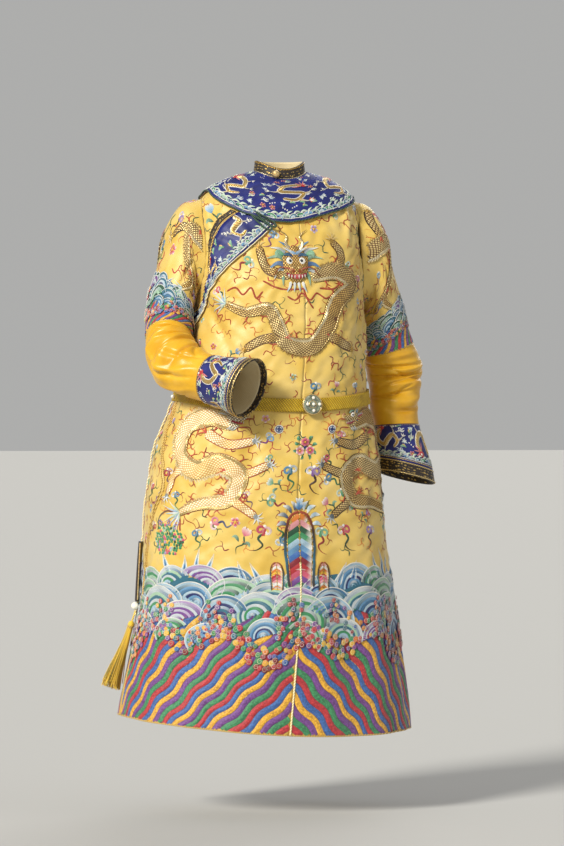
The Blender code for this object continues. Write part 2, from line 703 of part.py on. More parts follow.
def make_pendant():
    """The pendant at the belt's side: its cord, a slender case, a bead and a tassel."""
    belt_edge = BELT_HEIGHT - BELT_WIDTH / 2
    heights = np.linspace(belt_edge - SEAM, CASE_TOP + SEAM, 30)
    lift = np.full(heights.shape, BELT_CLEAR + PENDANT_CORD)
    make_tube("pendant_cord", pendant_point(heights, lift), PENDANT_CORD, CORD)

    case_end = CASE_TOP - CASE_LENGTH
    top = pendant_point(CASE_TOP, SEAM + CASE_THICK / 2)
    end = pendant_point(case_end, SEAM + CASE_THICK / 2)
    down = unit(end - top)
    outward = unit(pendant_point(CASE_TOP, 5.0) - pendant_point(CASE_TOP, 0.0))
    across = np.cross(outward, down)
    around = np.radians(np.linspace(0, 360, 16, endpoint=False))[:, None]
    oval = np.cos(around) * across * CASE_WIDTH / 2 + np.sin(around) * outward * CASE_THICK / 2
    rings = [
        top + (end - top) * share + oval * width for share, width in zip(CASE["share"], CASE["width"])
    ]
    make_loft("pendant_case", np.array(rings), LACQUER)

    bead = end + down * (BEAD_RADIUS + SEAM) + outward * BEAD_RADIUS * 0.4
    make_turned("pendant_bead", ball(BEAD_RADIUS, 10), bead, -down, PEARL, 16)
    make_tassel(bead + down * (BEAD_RADIUS + SEAM))


def make_loft(name, rings, look):
    """A solid through rings of points, closed at both ends."""
    rows, columns = rings.shape[:2]
    mesh = bmesh.new()
    verts = [[mesh.verts.new(point) for point in ring * MM] for ring in rings]
    for lower, upper in zip(verts, verts[1:]):
        for c in range(columns):
            n = (c + 1) % columns
            mesh.faces.new((lower[c], lower[n], upper[n], upper[c]))
    mesh.faces.new(verts[0])
    mesh.faces.new(verts[-1])
    bmesh.ops.recalc_face_normals(mesh, faces=mesh.faces)
    data = bpy.data.meshes.new(name)
    mesh.to_mesh(data)
    mesh.free()
    data.shade_smooth()
    return dress(bpy.data.objects.new(name, data), look)


def add_ring(mesh, middle, radius, side, front):
    turns = np.radians(np.linspace(0, 360, TASSEL_SIDES, endpoint=False))
    spots = [middle + radius * (math.cos(a) * side + math.sin(a) * front) for a in turns]
    return [mesh.verts.new(spot * MM) for spot in spots]


def join_rings(mesh, upper, lower):
    """The faces between two rings of points."""
    after = range(1, len(upper) + 1)
    return [
        mesh.faces.new((upper[i], upper[n % len(upper)], lower[n % len(upper)], lower[i]))
        for i, n in enumerate(after)
    ]


def make_tassel(start):
    """A thin neck, a bound head, and strands that stand apart below it."""
    down = unit(pendant_point(TASSEL_END, TASSEL_CLEAR) - start)
    side = unit(np.cross(down, [0.0, 1.0, 0.0]))
    front = np.cross(side, down)
    mesh = bmesh.new()
    rings = [
        add_ring(mesh, start + down * along, radius, side, front)
        for radius, along in zip(TASSEL_HEAD["radius"], TASSEL_HEAD["along"])
    ]
    for upper, lower in zip(rings, rings[1:]):
        join_rings(mesh, upper, lower)
    mesh.faces.new(rings[0])
    # The head's underside is a disc of cells, and a strand grows from each.
    head_end = TASSEL_HEAD["along"][-1]
    root = start + down * head_end
    cells, outer = [], rings[-1]
    for radius in STRAND_RINGS:
        inner = add_ring(mesh, root, radius, side, front)
        cells += join_rings(mesh, outer, inner)
        outer = inner
    cells.append(mesh.faces.new(outer))
    bmesh.ops.recalc_face_normals(mesh, faces=mesh.faces)
    bmesh.ops.inset_individual(mesh, faces=cells, thickness=STRAND_GAP * MM)
    rng = np.random.default_rng(7)
    for cell in cells:
        middle = np.array(cell.calc_center_median()) / MM
        spread = (middle - root) * TASSEL_FLARE
        drop = (TASSEL_LENGTH - head_end) * rng.uniform(SHORTEST_STRAND, 1.0)
        sway = rng.uniform(-TASSEL_SWAY, TASSEL_SWAY, 2)
        tip = cell
        for step in range(1, STRAND_STEPS + 1):
            share = step / STRAND_STEPS
            tip = bmesh.ops.extrude_discrete_faces(mesh, faces=[tip])["faces"][0]
            place = middle + down * drop * share + spread * share**1.4
            place = place + (sway[0] * side + sway[1] * front) * share**2
            shift = place * MM - np.array(tip.calc_center_median())
            bmesh.ops.translate(mesh, vec=shift, verts=tip.verts)
    data = bpy.data.meshes.new("pendant_tassel")
    mesh.to_mesh(data)
    mesh.free()
    return dress(bpy.data.objects.new("pendant_tassel", data), TASSEL)


def make_sleeves():
    for name, sections, creases, side in (
        ("left", LEFT_SLEEVE, LEFT_CREASES, 1),
        ("right", RIGHT_SLEEVE, RIGHT_CREASES, -1),
    ):
        sleeve = Sleeve(sections, creases, side)
        make_sleeve_part("sleeve_upper_" + name, sleeve, 0, BAND_SEAM, 10, YELLOW)
        make_sleeve_part("sleeve_lower_" + name, sleeve, BAND_SEAM, CUFF_SEAM, 14, ORANGE)
        make_sleeve_part("cuff_" + name, sleeve, CUFF_SEAM, TRIM_SEAM, 4, BLUE)
        make_sleeve_part("cuff_trim_" + name, sleeve, TRIM_SEAM, HAND_END, 2, BROCADE)


robe = bpy.data.collections.new("dragon_robe")


def main():
    for old in list(bpy.data.objects):
        bpy.data.objects.remove(old)
    bpy.context.scene.collection.children.link(robe)
    make_panel("front_left", 1, -1)
    make_panel("front_right", -1, -1)
    make_panel("back_left", 1, 1)
    make_panel("back_right", -1, 1)
    make_sleeves()
    make_cape()
    make_stand_collar()
    make_overlap("overlap_band", 0.18, 1.0, 5, BLUE, BAND)
    make_overlap("overlap_trim", -0.01, 0.13, 2, BROCADE, TRIM)
    make_neck_button()
    make_belt()
    make_buckle()
    make_belt_pearls()
    make_pendant()


main()
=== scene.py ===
import math
from functools import partial

import bpy
import numpy as np
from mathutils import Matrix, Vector


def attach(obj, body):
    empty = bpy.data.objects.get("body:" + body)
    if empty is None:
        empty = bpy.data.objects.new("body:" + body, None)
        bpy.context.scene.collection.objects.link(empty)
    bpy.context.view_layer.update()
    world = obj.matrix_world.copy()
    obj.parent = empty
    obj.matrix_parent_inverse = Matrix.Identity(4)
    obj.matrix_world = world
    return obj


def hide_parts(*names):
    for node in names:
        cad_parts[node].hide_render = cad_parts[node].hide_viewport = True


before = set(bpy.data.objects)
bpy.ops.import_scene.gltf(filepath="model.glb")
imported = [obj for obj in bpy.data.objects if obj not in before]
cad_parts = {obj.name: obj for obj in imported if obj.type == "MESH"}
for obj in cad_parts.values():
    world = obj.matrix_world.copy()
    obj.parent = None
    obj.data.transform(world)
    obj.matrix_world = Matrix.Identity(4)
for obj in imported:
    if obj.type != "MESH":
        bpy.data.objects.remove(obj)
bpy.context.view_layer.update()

mm = 0.001  # every size below is in millimetres unless its name says otherwise


def say(stage):
    print("robe:", stage)


def table(columns, rows):  # named columns, as one array each; a semicolon or the line's end closes a row
    values = np.array([row.split() for row in rows.replace(";", "\n").split("\n") if row.strip()], float)
    return {name: values[:, i] for i, name in enumerate(columns.split())}


def rowsOf(columns):  # the same table, one dictionary for each row
    names = list(columns)
    return [dict(zip(names, row)) for row in zip(*(columns[name] for name in names))]


def spline(knots, values, at):  # a smooth curve through all the values
    at = np.asarray(at, float)
    span = np.diff(knots)
    tall = (-1,) + (1,) * (values.ndim - 1)
    slope = np.diff(values, axis=0) / span.reshape(tall)
    before, after = span[:-1].reshape(tall), span[1:].reshape(tall)
    inner = (slope[:-1] * after + slope[1:] * before) / (before + after)
    tangent = np.concatenate([slope[:1], inner, slope[-1:]])
    i = np.clip(np.searchsorted(knots, at, side="right") - 1, 0, len(span) - 1)
    shape = at.shape + (1,) * (values.ndim - 1)
    h = span[i].reshape(shape)
    u = ((at - knots[i]) / span[i]).reshape(shape)
    rise = values[i] * (1 + 2 * u) * (1 - u) ** 2 + tangent[i] * h * u * (1 - u) ** 2
    return rise + values[i + 1] * u * u * (3 - 2 * u) - tangent[i + 1] * h * u * u * (1 - u)


def splines(knots, columns, at):  # each of a table's columns
    return {name: spline(knots, column, at) for name, column in columns.items()}


def paired(u, v):  # two arrays of one shape
    return np.broadcast_arrays(np.asarray(u, float), np.asarray(v, float))


def blend(at, knots, values):  # straight between the values, column by column
    return np.stack([np.interp(at, knots, column) for column in values.T], -1)


def arcAlong(points, axis=0):  # how far along its line each point lies
    steps = np.linalg.norm(np.diff(points, axis=axis), axis=-1)
    return np.concatenate([np.zeros_like(steps.take([0], axis)), np.cumsum(steps, axis)], axis)


def cells(rows, columns):  # the row and the column of each cell of a grid
    return [g.ravel() for g in np.meshgrid(np.arange(rows), np.arange(columns), indexing="ij")]


def bump(distance):  # 1 at 0, falling smoothly to 0 at 1
    return np.where(np.abs(distance) < 1, np.cos(np.clip(distance, -1, 1) * math.pi / 2) ** 2, 0.0)


def turn(angle):  # degrees brought to -180 to 180
    return (np.asarray(angle, float) + 180) % 360 - 180


def unit(vectors):
    return vectors / np.maximum(np.linalg.norm(vectors, axis=-1, keepdims=True), 1e-12)


def slopeAcross(surface, u, v, uStep, vStep):
    du = surface(u + uStep, v) - surface(u - uStep, v)
    dv = surface(u, v + vStep) - surface(u, v - vStep)
    return unit(np.cross(du, dv))


# The robe's form, with the same sections as its solids.

bodySections = table("height middle forward halfWidth front back corner slant dip", """
    -312.8 -5.8 0 86.2 63.5 62 0.02 4.7 4.5; -298 -5.2 0 84.4 61.5 60.5 0.02 3.9 3.6
    -277 -4.4 0 80.7 59 58.5 0.03 2.7 2.4; -244 -3.7 0 75.2 56.5 56 0.03 1.2 0.9
    -226 -4.1 0 73.2 55.6 55 0.04 0.5 0.4; -205 -5 0 71.2 55 54.3 0.04 0.1 0.1
    -185 -5.5 0 70 54.6 53.4 0.04 0 0; -163 -4.8 0 67.2 53.6 51.6 0.04 0 0
    -147 -3.9 0 64 52 49.4 0.04 0 0; -134 -2.4 0 59.6 49.8 46.4 0.04 0 0
    -124 -1.4 0 56.6 48.8 44.8 0.04 0 0; -113 -0.6 0 55 49.4 44.6 0.04 0 0
    -92 1 0 51.8 48.4 44.4 0.05 0 0; -66 1.9 0 50.8 45.8 44 0.06 0 0; -46 1.8 0 50.8 42 41.5 0.07 0 0
    -31 1.7 0 50.6 37.4 37 0.07 0 0; -20 1.6 0.4 50 32.4 33 0.06 0 0; -12 1.6 1 48 28 29 0.05 0 0.3
    -6 1.6 2 44.4 24.4 25.5 0.03 0 0.9; -1.5 1.6 3 39.4 21.8 22.6 0.02 0 1.8
    2.4 1.7 4.2 33.2 19.8 19.6 0.01 0 3; 5.2 1.8 5.4 26.6 17.8 16.8 0 0 3.9
    7.2 1.9 6.4 20.2 15.6 14.6 0 0 4.7; 8.4 2 7 15.4 13.8 13.2 0 0 5.2
""")
# the largest folds, which the solids have too
bodyFolds = table("angle halfAngle out low high", """
    -150 13 1.5 -319 -150; -122 11 -1.3 -319 -190; -62 13 -1.2 -319 -175; -36 12 -1.4 -319 -190
    -10 14 1.8 -319 -160; 22 12 -1.6 -319 -190; 50 13 1.9 -319 -160; 86 15 2.2 -319 -150
    124 13 -1.8 -319 -200; 152 12 1.9 -319 -170; -64 10 0.9 -116 -84; -34 9 -0.9 -118 -88
    40 12 1 -118 -70; 66 10 -1 -118 -74; 90 9 1.1 -118 -60; 114 10 -1 -118 -74; 142 12 1 -118 -70
""")
sleeveColumns = "outerX outerY outerZ innerX innerY innerZ deep lean"
leftSections = table(sleeveColumns, """
    56.2 1 -9.2 54.2 0.8 -67.2 18.6 0; 64 2 -20 54.6 2 -70 18.6 0; 69.4 3 -40 54.8 4.5 -75 18.2 0
    77.8 6 -61 55 7 -82 17.6 0; 84.4 9 -81 56.4 9.5 -93.5 17 0; 88.4 10 -89.6 58.5 11 -98.5 16.6 0
    94.3 11 -103.5 61 11 -107.5 16 0; 93.6 11 -114.5 62.6 11 -116.5 15.4 0; 91.6 11 -127 63 11 -128 14.6 0
    92.1 10 -139 65.1 10 -139.6 14 0; 96.6 9.5 -154 65.2 9.5 -150 15 0; 100.4 9 -167 65.4 9 -158.4 16 0
    101.6 8.5 -174.6 66.3 8.5 -166 16.3 0
""")
rightSections = table(sleeveColumns, """
    -54.6 0 -10 -50.6 0 -67.2 18.4 0; -61.6 -0.5 -20 -51.2 -1 -70 18.4 0; -67.2 -2 -40 -51.6 -3 -75 18.4 0
    -74 -3.5 -61 -51.6 -5 -81 18 0; -77.2 -5 -77 -51.4 -9.5 -86.5 17.6 0
    -78.6 -7.5 -88 -52.4 -14.5 -89.5 17.2 0; -79.6 -14 -98.5 -53 -20 -92 17 0
    -78.6 -24 -110 -51 -25.5 -94.5 16.6 0; -70.5 -38 -115.5 -46 -31.5 -101.5 15.2 0
    -59.5 -52.7 -116.3 -39.5 -39.8 -109.3 14.1 0; -52.2 -66.1 -119.3 -30.2 -51.5 -111.8 15.6 -1.5
    -47.3 -75.9 -121.5 -22.7 -59.3 -113.6 17.2 -3; -45.4 -79.2 -122.2 -20.2 -62.4 -114.3 17.7 -3.5
""")
creaseColumns = "section round halfSection halfRound out slant"
leftCreases = table(creaseColumns, """
    6.5 -80 0.25 90 -1.1 0.1; 7 -60 0.28 80 1 -0.12; 7.5 -90 0.3 90 -1.2 0.15; 8 -70 0.3 80 1 0.1
    8.5 -100 0.3 85 -1 -0.12; 9.1 -60 0.3 80 0.8 0.1; 6.8 100 0.35 70 1 0.2; 7.6 90 0.4 80 -1.1 -0.1
    8.4 110 0.35 70 0.9 0.15; 4.6 160 0.5 60 -1.1 0.2
""")
rightCreases = table(creaseColumns, """
    6.6 -60 0.32 75 -1.4 0.25; 7.15 -50 0.3 75 1.4 0.3; 7.7 -45 0.3 70 -1.6 0.3; 8.25 -50 0.32 70 1.4 0.3
    8.8 -40 0.32 65 -1.3 0.35; 9.4 -30 0.35 60 0.8 0.3; 7.2 110 0.4 60 -1 0.2; 8.2 120 0.45 60 1 0.2
    4.6 150 0.5 60 -1.1 0.2
""")
capeEdge = table("angle height", """
    -180 -3; -165 -4.2; -150 -7.4; -136 -11.4; -118 -17.6; -100 -22; -85 -21.6; -70 -18.4; -53 -14.4
    -35 -10.4; -18 -7; 0 -4.6; 20 -8; 45 -15; 70 -20.5; 90 -22.5; 110 -20.5; 135 -14.5; 160 -7; 180 -3
""")
overlapLine = table("upperAngle upperHeight lowerAngle lowerHeight", """
    -130 -14.6 -101 -23.2; -138 -19 -107 -28; -144 -25 -116 -35; -147 -31.5 -126 -42.5
    -148.5 -39 -135 -49; -149.5 -47.5 -143 -56; -153 -57.5 -150.5 -65; -160.5 -68.5 -158 -75
    -170 -73.5 -167 -82
""")
# the front's edge over the wearer's right side
closure = table("height angle", """
    -320 180; -225 181; -206 185; -194 191; -176 199; -153 192; -124 182; -66 180; 9 180
""")
frontSeam = table("height angle", """
    -320 -91.5; -230 -86; -130 -84; 9 -84
""")
form = {
    "armpit": -66.0, "shoulder": -7.0, "armholeAngle": 28.0,
    "sleeveClear": 1.6, "beltRoom": 2.4, "seam": 0.02, "sleeveSeam": 0.06, "gap": 0.3,
    "beltHeight": -121.4, "beltDip": 6.4, "beltGrip": 11.0, "back": 90.0,
    "bandSeam": 6, "cuffSeam": 10, "trimSeam": 12, "handEnd": 13, "ringStep": 7.5,
    "capeClear": 0.3, "capeFlare": 0.7, "soften": 2.3, "band": 1.0,
}

# how far up the cloth each section lies, along the side
sectionRun = arcAlong(np.stack([bodySections["height"], bodySections["halfWidth"]], -1))
neckRun = sectionRun[-1]
fineRun = np.linspace(0, neckRun, 400)
fineHeight = spline(sectionRun, bodySections["height"], fineRun)


def runAt(height):
    return np.interp(height, fineHeight, fineRun)


def heightAt(run):
    return np.interp(run, fineRun, fineHeight)


armholeRuns = (runAt(form["armpit"]), runAt(form["shoulder"]))


def beltMiddle(angle):
    front = np.maximum(0, -np.sin(np.radians(angle)))
    return form["beltHeight"] - form["beltDip"] * front**1.5


def largeFolds(angle, height):
    out = np.zeros(np.broadcast(angle, height).shape)
    for fold in rowsOf(bodyFolds):
        share = (height - fold["low"]) / (fold["high"] - fold["low"])
        if fold["high"] > form["beltHeight"]:
            along = bump(2 * share - 1)
        else:  # a fold of the skirt, deepest at the hem
            along = np.cos(np.clip(share, 0, 1) * math.pi / 2) ** 1.5
        out = out + fold["out"] * along * bump(turn(angle - fold["angle"]) / fold["halfAngle"])
    return out * (1 - bump((height - beltMiddle(angle)) / form["beltGrip"]))


def bodyPlain(angle, run):
    angle, run = paired(angle, run)
    row = splines(sectionRun, bodySections, run)
    c, s = np.cos(np.radians(angle)), np.sin(np.radians(angle))
    fold = largeFolds(angle, row["height"])
    full = 1 + row["corner"] * np.sin(np.radians(2 * angle)) ** 2
    x = row["middle"] + (row["halfWidth"] * full + fold) * c
    y = (np.where(s < 0, row["front"], row["back"]) * full + fold) * s - row["forward"]
    z = row["height"] - row["slant"] * c - row["dip"] * np.maximum(0, -s) ** 2
    return np.stack([x, y, z], -1)


def creased(rows, u, v):  # soft troughs and ridges along lines drawn on the cloth
    out = np.zeros(np.broadcast(u, v).shape)
    for line in rows:
        du, dv = line["u1"] - line["u0"], line["v1"] - line["v0"]
        long = math.hypot(du, dv)
        away = turn(u - line["u0"])
        along = (away * du + (v - line["v0"]) * dv) / long**2
        across = (away * dv - (v - line["v0"]) * du) / long
        across = across + line["bow"] * np.sin(np.clip(along, 0, 1) * math.pi)
        out = out + line["out"] * bump(2 * along - 1) ** 0.45 * np.exp(-((across / line["wide"]) ** 2))
    return out


# Finer creases of the body: from one end (degrees round, millimetres up the cloth) to the other.
# Near the waist a degree is about a millimetre.
lineColumns = "u0 v0 u1 v1 wide out bow"
bodyCreases = table(lineColumns, """
    -160 250 -128 212 3.6 -0.9 3; -158 262 -118 236 3.2 0.7 -2; -170 238 -140 205 3 0.7 2
    -146 218 -104 206 2.8 -0.5 -3; -20 262 -46 214 3.8 -0.9 -3; -14 246 -38 205 3.4 0.8 3
    -26 306 -36 262 3.4 -0.9 2; -40 312 -50 276 3 0.6 -2; -12 300 -24 268 3 0.7 2
    -56 250 -70 214 3.2 0.5 3; -100 218 -86 206 2.6 -0.5 2; -50 180 -58 120 4.6 -0.8 3
    -28 184 -30 100 4.4 0.8 -4; -74 178 -78 140 3.6 0.5 2; -104 180 -110 128 4.2 -0.7 -3
    -130 182 -142 110 4.6 0.8 3; -148 184 -164 130 4 -0.8 3; -92 98 -106 20 6 0.8 4
    -70 110 -52 10 6.5 -0.8 -4; -136 96 -138 8 6 -0.9 4; -24 96 -22 4 5.5 -0.8 3; 4 190 12 110 4.6 0.8 3
    24 262 52 212 3.8 -0.9 3; 16 246 40 206 3.2 0.8 -2; 30 306 42 262 3.4 -0.8 2; 54 300 60 250 3.6 0.6 -3
    78 276 74 214 3.4 -0.6 3; 104 270 112 212 3.4 -0.6 -3; 128 300 120 256 3.4 0.7 2
    156 262 132 212 3.8 -0.9 -3; 166 246 148 206 3.2 0.8 2; 56 182 48 110 4.6 -0.8 4
    80 184 84 124 4.2 0.7 -3; 104 182 100 104 4.6 -0.8 3; 132 184 140 120 4.6 0.8 3
    160 182 168 120 4 -0.7 -3; 64 100 60 8 6 -0.8 4; 112 96 118 6 6 0.8 -4; 170 98 166 8 5.5 -0.8 4
""")


# How the stitches draw the silk up: ripples, full above "from" and with none under the collar.
pucker = {"deep": 0.5, "from": 62, "over": 26, "collar": 24, "fade": 20, "around": 27, "sway": 12}


def drape(angle, run):
    height = heightAt(run)
    free = 1 - bump((height - beltMiddle(angle)) / form["beltGrip"])
    collar = np.clip((neckRun - pucker["collar"] - run) / pucker["fade"], 0, 1)
    along = np.sin(run * 0.55 + 1.3 * np.sin(np.radians(pucker["sway"] * angle)))
    around = np.sin(np.radians(pucker["around"] * angle) + 1.1 * np.sin(run * 0.33))
    drawn = pucker["deep"] * along * around * np.clip((run - pucker["from"]) / pucker["over"], 0, 1)
    return (creased(rowsOf(bodyCreases), angle, run) * form["soften"] + drawn) * free * collar


def bodyNormal(angle, run):
    return slopeAcross(bodyPlain, angle, run, 0.5, 0.2)


def body(angle, run, lift=0.0):  # points lift outside the body's cloth
    angle, run = paired(angle, run)
    out = np.asarray(lift) + drape(angle, run)
    return bodyPlain(angle, run) + out[..., None] * bodyNormal(angle, run)


def clearOfBody(points):  # sleeve points pressed out of the body's cloth and the belt
    height = points[..., 2]
    row = splines(sectionRun, bodySections, runAt(height))
    away = points[..., :2] - np.stack([row["middle"], -row["forward"]], -1)
    depth = np.where(away[..., 1] < 0, row["front"], row["back"])
    across, ahead = away[..., 0] / row["halfWidth"], away[..., 1] / depth
    angle = np.arctan2(ahead, across)
    full = 1 + row["corner"] * np.sin(2 * angle) ** 2
    room = form["beltRoom"] * bump((height - beltMiddle(np.degrees(angle))) / form["beltGrip"])
    nearest = full + (form["sleeveClear"] + room) / depth
    push = np.maximum(1.0, nearest / np.hypot(across, ahead))
    moved = points.copy()
    moved[..., :2] += away * (push - 1)[..., None]
    return moved


def sleeveRings(sections, side, around):
    cos, sin = np.cos(np.radians(around)), np.sin(np.radians(around))
    low, high = armholeRuns
    run = low + (high - low) * (1 + cos) / 2
    middleAngle = 0.0 if side > 0 else 180.0
    away = form["armholeAngle"] * np.sqrt(np.maximum(0, 1 - cos**2)) * np.sign(sin) * side
    armhole = bodyPlain(middleAngle + away, run) + [side * form["seam"], 0, 0]
    outer = np.stack([sections["outer" + axis] for axis in "XYZ"], -1)
    inner = np.stack([sections["inner" + axis] for axis in "XYZ"], -1)
    middle = (outer + inner) / 2
    heading = unit(np.gradient(np.vstack([armhole.mean(0), middle]), axis=0))[1:]
    half = (outer - inner) / 2
    across = unit(np.cross(half, heading)) * sections["deep"][:, None] * side
    ahead = heading * sections["lean"][:, None]
    rings = middle[:, None] + half[:, None] * cos[None, :, None]
    rings = rings + (across + ahead)[:, None] * sin[None, :, None]
    return np.concatenate([armhole[None], clearOfBody(rings)])


sleeveScale = 12.0  # about the length of a section, so a sleeve's creases are drawn in millimetres


class Sleeve:  # a point for each angle round the sleeve and each section number down it
    def __init__(self, sections, creases, finer, side):
        self.side, self.creases, self.finer = side, rowsOf(creases), rowsOf(finer)
        self.around = np.arange(0.0, 360.0, form["ringStep"])
        self.rings = sleeveRings(sections, side, self.around)
        self.knots = arcAlong(self.rings.mean(1))

    def plain(self, around, section):
        around, section = paired(around, section)
        at = np.interp(section, np.arange(len(self.knots)), self.knots)
        place = (around % 360) / form["ringStep"]
        low = np.floor(place).astype(int)
        share = (place - low)[..., None]
        count = len(self.around)
        picked = [np.empty(at.shape + (3,)) for step in range(4)]
        for step, pick in enumerate(picked):
            column = (low + step - 1) % count
            for c in np.unique(column):
                here = column == c
                pick[here] = spline(self.knots, self.rings[:, c], at[here])
        a, b, c, d = picked
        return b + share / 2 * (
            c - a + share * (2 * a - 5 * b + 4 * c - d + share * (3 * (b - c) + d - a))
        )

    def out(self, around, section):
        out = np.zeros(np.broadcast(around, section).shape)
        for crease in self.creases:
            away = turn(around - crease["round"]) / crease["halfRound"]
            along = (section - crease["section"] - crease["slant"] * away) / crease["halfSection"]
            out = out + crease["out"] * bump(away) * bump(along)
        return out + creased(self.finer, around, section * sleeveScale)

    def __call__(self, around, section, lift=0.0):
        around, section = paired(around, section)
        out = np.asarray(lift) + self.out(around, section)
        normal = slopeAcross(self.plain, around, section, 1.0, 0.02) * -self.side
        return self.plain(around, section) + normal * out[..., None]


# Fine creases that run down the upper sleeves.
upperLines = """
    -96 2 -70 46 3 -1.1 4; -130 8 -118 50 3.4 0.8 3; -40 16 -30 60 3.6 0.6 -4; 30 10 22 58 3.6 -0.6 5
    80 4 64 48 3.2 0.8 4; 118 6 128 52 3.4 -0.9 -3
"""
# Sharper ones that fan out of the crook of the bent arm, then long ones down the forearm.
rightLines = """
    -200 81 -32 74 1.2 -1.8 2; -196 84 -30 79 2 1.2 1; -204 86 -30 84 1.3 -2.3 3
    -196 88.5 -36 89 2.2 1.4 2; -204 90 -32 94 1.3 -2.4 3; -196 93 -40 99 2.2 1.4 -2
    -204 94.5 -44 105 1.3 -2.2 4; -196 98 -50 110 2.2 1.3 2; -200 100 -70 116 1.3 -1.7 -3
    -60 96 -80 119 5 -1.4 5; -28 84 -46 118 6 1.3 -6; -8 92 -20 119 5 -1.5 4; 24 88 8 118 6 1.1 -4
    150 86 40 77 1.3 -1.7 3; 150 91 36 92 2.2 1.1 -3; 150 95 44 107 1.3 -1.7 2; 130 99 30 114 1.4 -1.5 3
"""
leftLines = """
    -182 77 -12 82 1.2 -2.1 3; -180 80 -30 78 2.2 1.3 -2; -170 87 0 84 1.3 -2.3 4
    -182 91 -30 88.5 2.2 1.4 3; -150 97 6 93 1.3 -2.2 -3; -182 102 -50 98 1.3 -1.8 2
    -120 106 0 102 2.2 1.2 2; -130 111 -10 107 1.6 -1.5 3; -124 79 -66 92 1.2 -1.5 2
    -60 96 -110 104 1.2 -1.3 2; 172 78 44 83 1.3 -1.9 3; 170 90 20 86 2.2 1.2 -3; 176 99 50 104 1.3 -1.8 2
    20 79 176 75 1.3 -1.8 3; 30 86 170 91 2.2 1.2 2; 10 93 168 97 1.3 -2.1 -3; 36 105 180 101 1.4 -1.7 2
    60 111 150 107 2 1 2
"""
leftSleeve = Sleeve(leftSections, leftCreases, table(lineColumns, upperLines + leftLines), 1)
rightSleeve = Sleeve(rightSections, rightCreases, table(lineColumns, upperLines + rightLines), -1)


# Camera, with its own level view along the floor.
viewpoint = {
    "azimuth": -15.0, "distance": 2370.0, "aside": 5.3, "height": -138.0, "lens": 171.5, "sensor": 36.0,
}


def addObject(data, toward=None, ahead="Z"):  # in the scene, with one of its axes toward a direction
    made = bpy.data.objects.new(data.name, data)
    if toward is not None:
        made.rotation_mode = "QUATERNION"
        made.rotation_quaternion = Vector(toward).to_track_quat(ahead, "Y")
    bpy.context.scene.collection.objects.link(made)
    return made


def makeCamera():
    a = math.radians(viewpoint["azimuth"])
    right = Vector((math.cos(a), math.sin(a), 0))
    back = Vector((math.sin(a), -math.cos(a), 0))
    data = bpy.data.cameras.new("camera")
    data.lens, data.sensor_width = viewpoint["lens"], viewpoint["sensor"]
    data.clip_start, data.clip_end = 0.05, 50
    camera = addObject(data, -back, "-Z")
    spot = right * viewpoint["aside"] + back * viewpoint["distance"] + Vector((0, 0, viewpoint["height"]))
    camera.location = spot * mm
    bpy.context.scene.camera = camera


def linear(hexColour):
    channels = [int(hexColour[i:i + 2], 16) / 255 for i in (1, 3, 5)]
    return tuple(c / 12.92 if c <= 0.04045 else ((c + 0.055) / 1.055) ** 2.4 for c in channels)


def rgba(hexColour):
    return (*linear(hexColour), 1.0)


def feed(node, inputs):  # sets a node's inputs, or links them to other nodes
    for name, value in inputs.items():
        if isinstance(value, bpy.types.NodeSocket):
            node.id_data.links.new(value, node.inputs[name])
        else:
            node.inputs[name].default_value = value


def addNode(tree, kind, inputs, out=0, stops=(), **settings):  # a node's output, once it is set and linked
    made = tree.nodes.new("ShaderNode" + kind)
    for name, value in settings.items():
        setattr(made, name, value)
    feed(made, inputs)
    if stops:  # a ramp's places and hex colours
        elements = made.color_ramp.elements
        elements.remove(elements[-1])
        elements[0].position, elements[0].color = stops[0][0], rgba(stops[0][1])
        for place, colour in stops[1:]:
            elements.new(place).color = rgba(colour)
    return made.outputs[out] if made.outputs else None


def startMaterial(name, sockets):
    material = bpy.data.materials.new(name)
    material.use_nodes = True
    tree = material.node_tree
    tree.nodes.clear()
    shader = addNode(tree, "BsdfPrincipled", sockets).node
    addNode(tree, "OutputMaterial", {"Surface": shader.outputs[0]})
    return material, partial(addNode, tree), shader


bandScale = 0.314  # a wave texture of this scale has one band a unit


# Woven silk satin, mottled in its dye and soft with handling: long floats give a broad glow, not a sharp
# gleam. Painted shade darkens the gaps between its threads.
def wovenSilk(name, look):
    material, node, shader = startMaterial(name, {
        "Roughness": look["roughness"], "Anisotropic": look["float"],
        "Sheen Weight": look["sheen"], "Sheen Roughness": 0.4, "Sheen Tint": rgba(look["bloom"]),
    })
    flat = node("UVMap", {}, uv_map="flat")
    cloud = node("TexNoise", {"Vector": flat, "Scale": 1 / look["cloud"], "Detail": 4.0})
    dye = node("ValToRGB", {"Fac": cloud}, stops=look["dye"])
    laid = node("Mapping", {"Vector": flat, "Rotation": (0, 0, math.radians(look["turn"]))})
    bands = {"Vector": laid, "Scale": bandScale / look["thread"]}
    bands.update({"Distortion": 1.2, "Detail": 1.0, "Detail Scale": 0.4})
    warp, weft = [node("TexWave", bands, 1, bands_direction=way) for way in "XY"]
    weave = node("Math", {0: warp, 1: weft, 2: 0.0}, operation="MULTIPLY_ADD")
    # painted shade: the look's gap colour darkens the cloth between the woven threads
    shade = node("ValToRGB", {"Fac": weave}, stops=[(0.0, look["gap"]), (0.6, "#FFFFFF")])
    dyeAndWeaveShade = {0: look["contrast"], 6: dye, 7: shade}
    colour = node("Mix", dyeAndWeaveShade, 2, data_type="RGBA", blend_type="MULTIPLY")
    relief = node("Bump", {"Height": weave, "Strength": look["relief"], "Distance": 0.15 * mm})
    feed(shader, {"Base Color": colour, "Normal": relief})
    return material
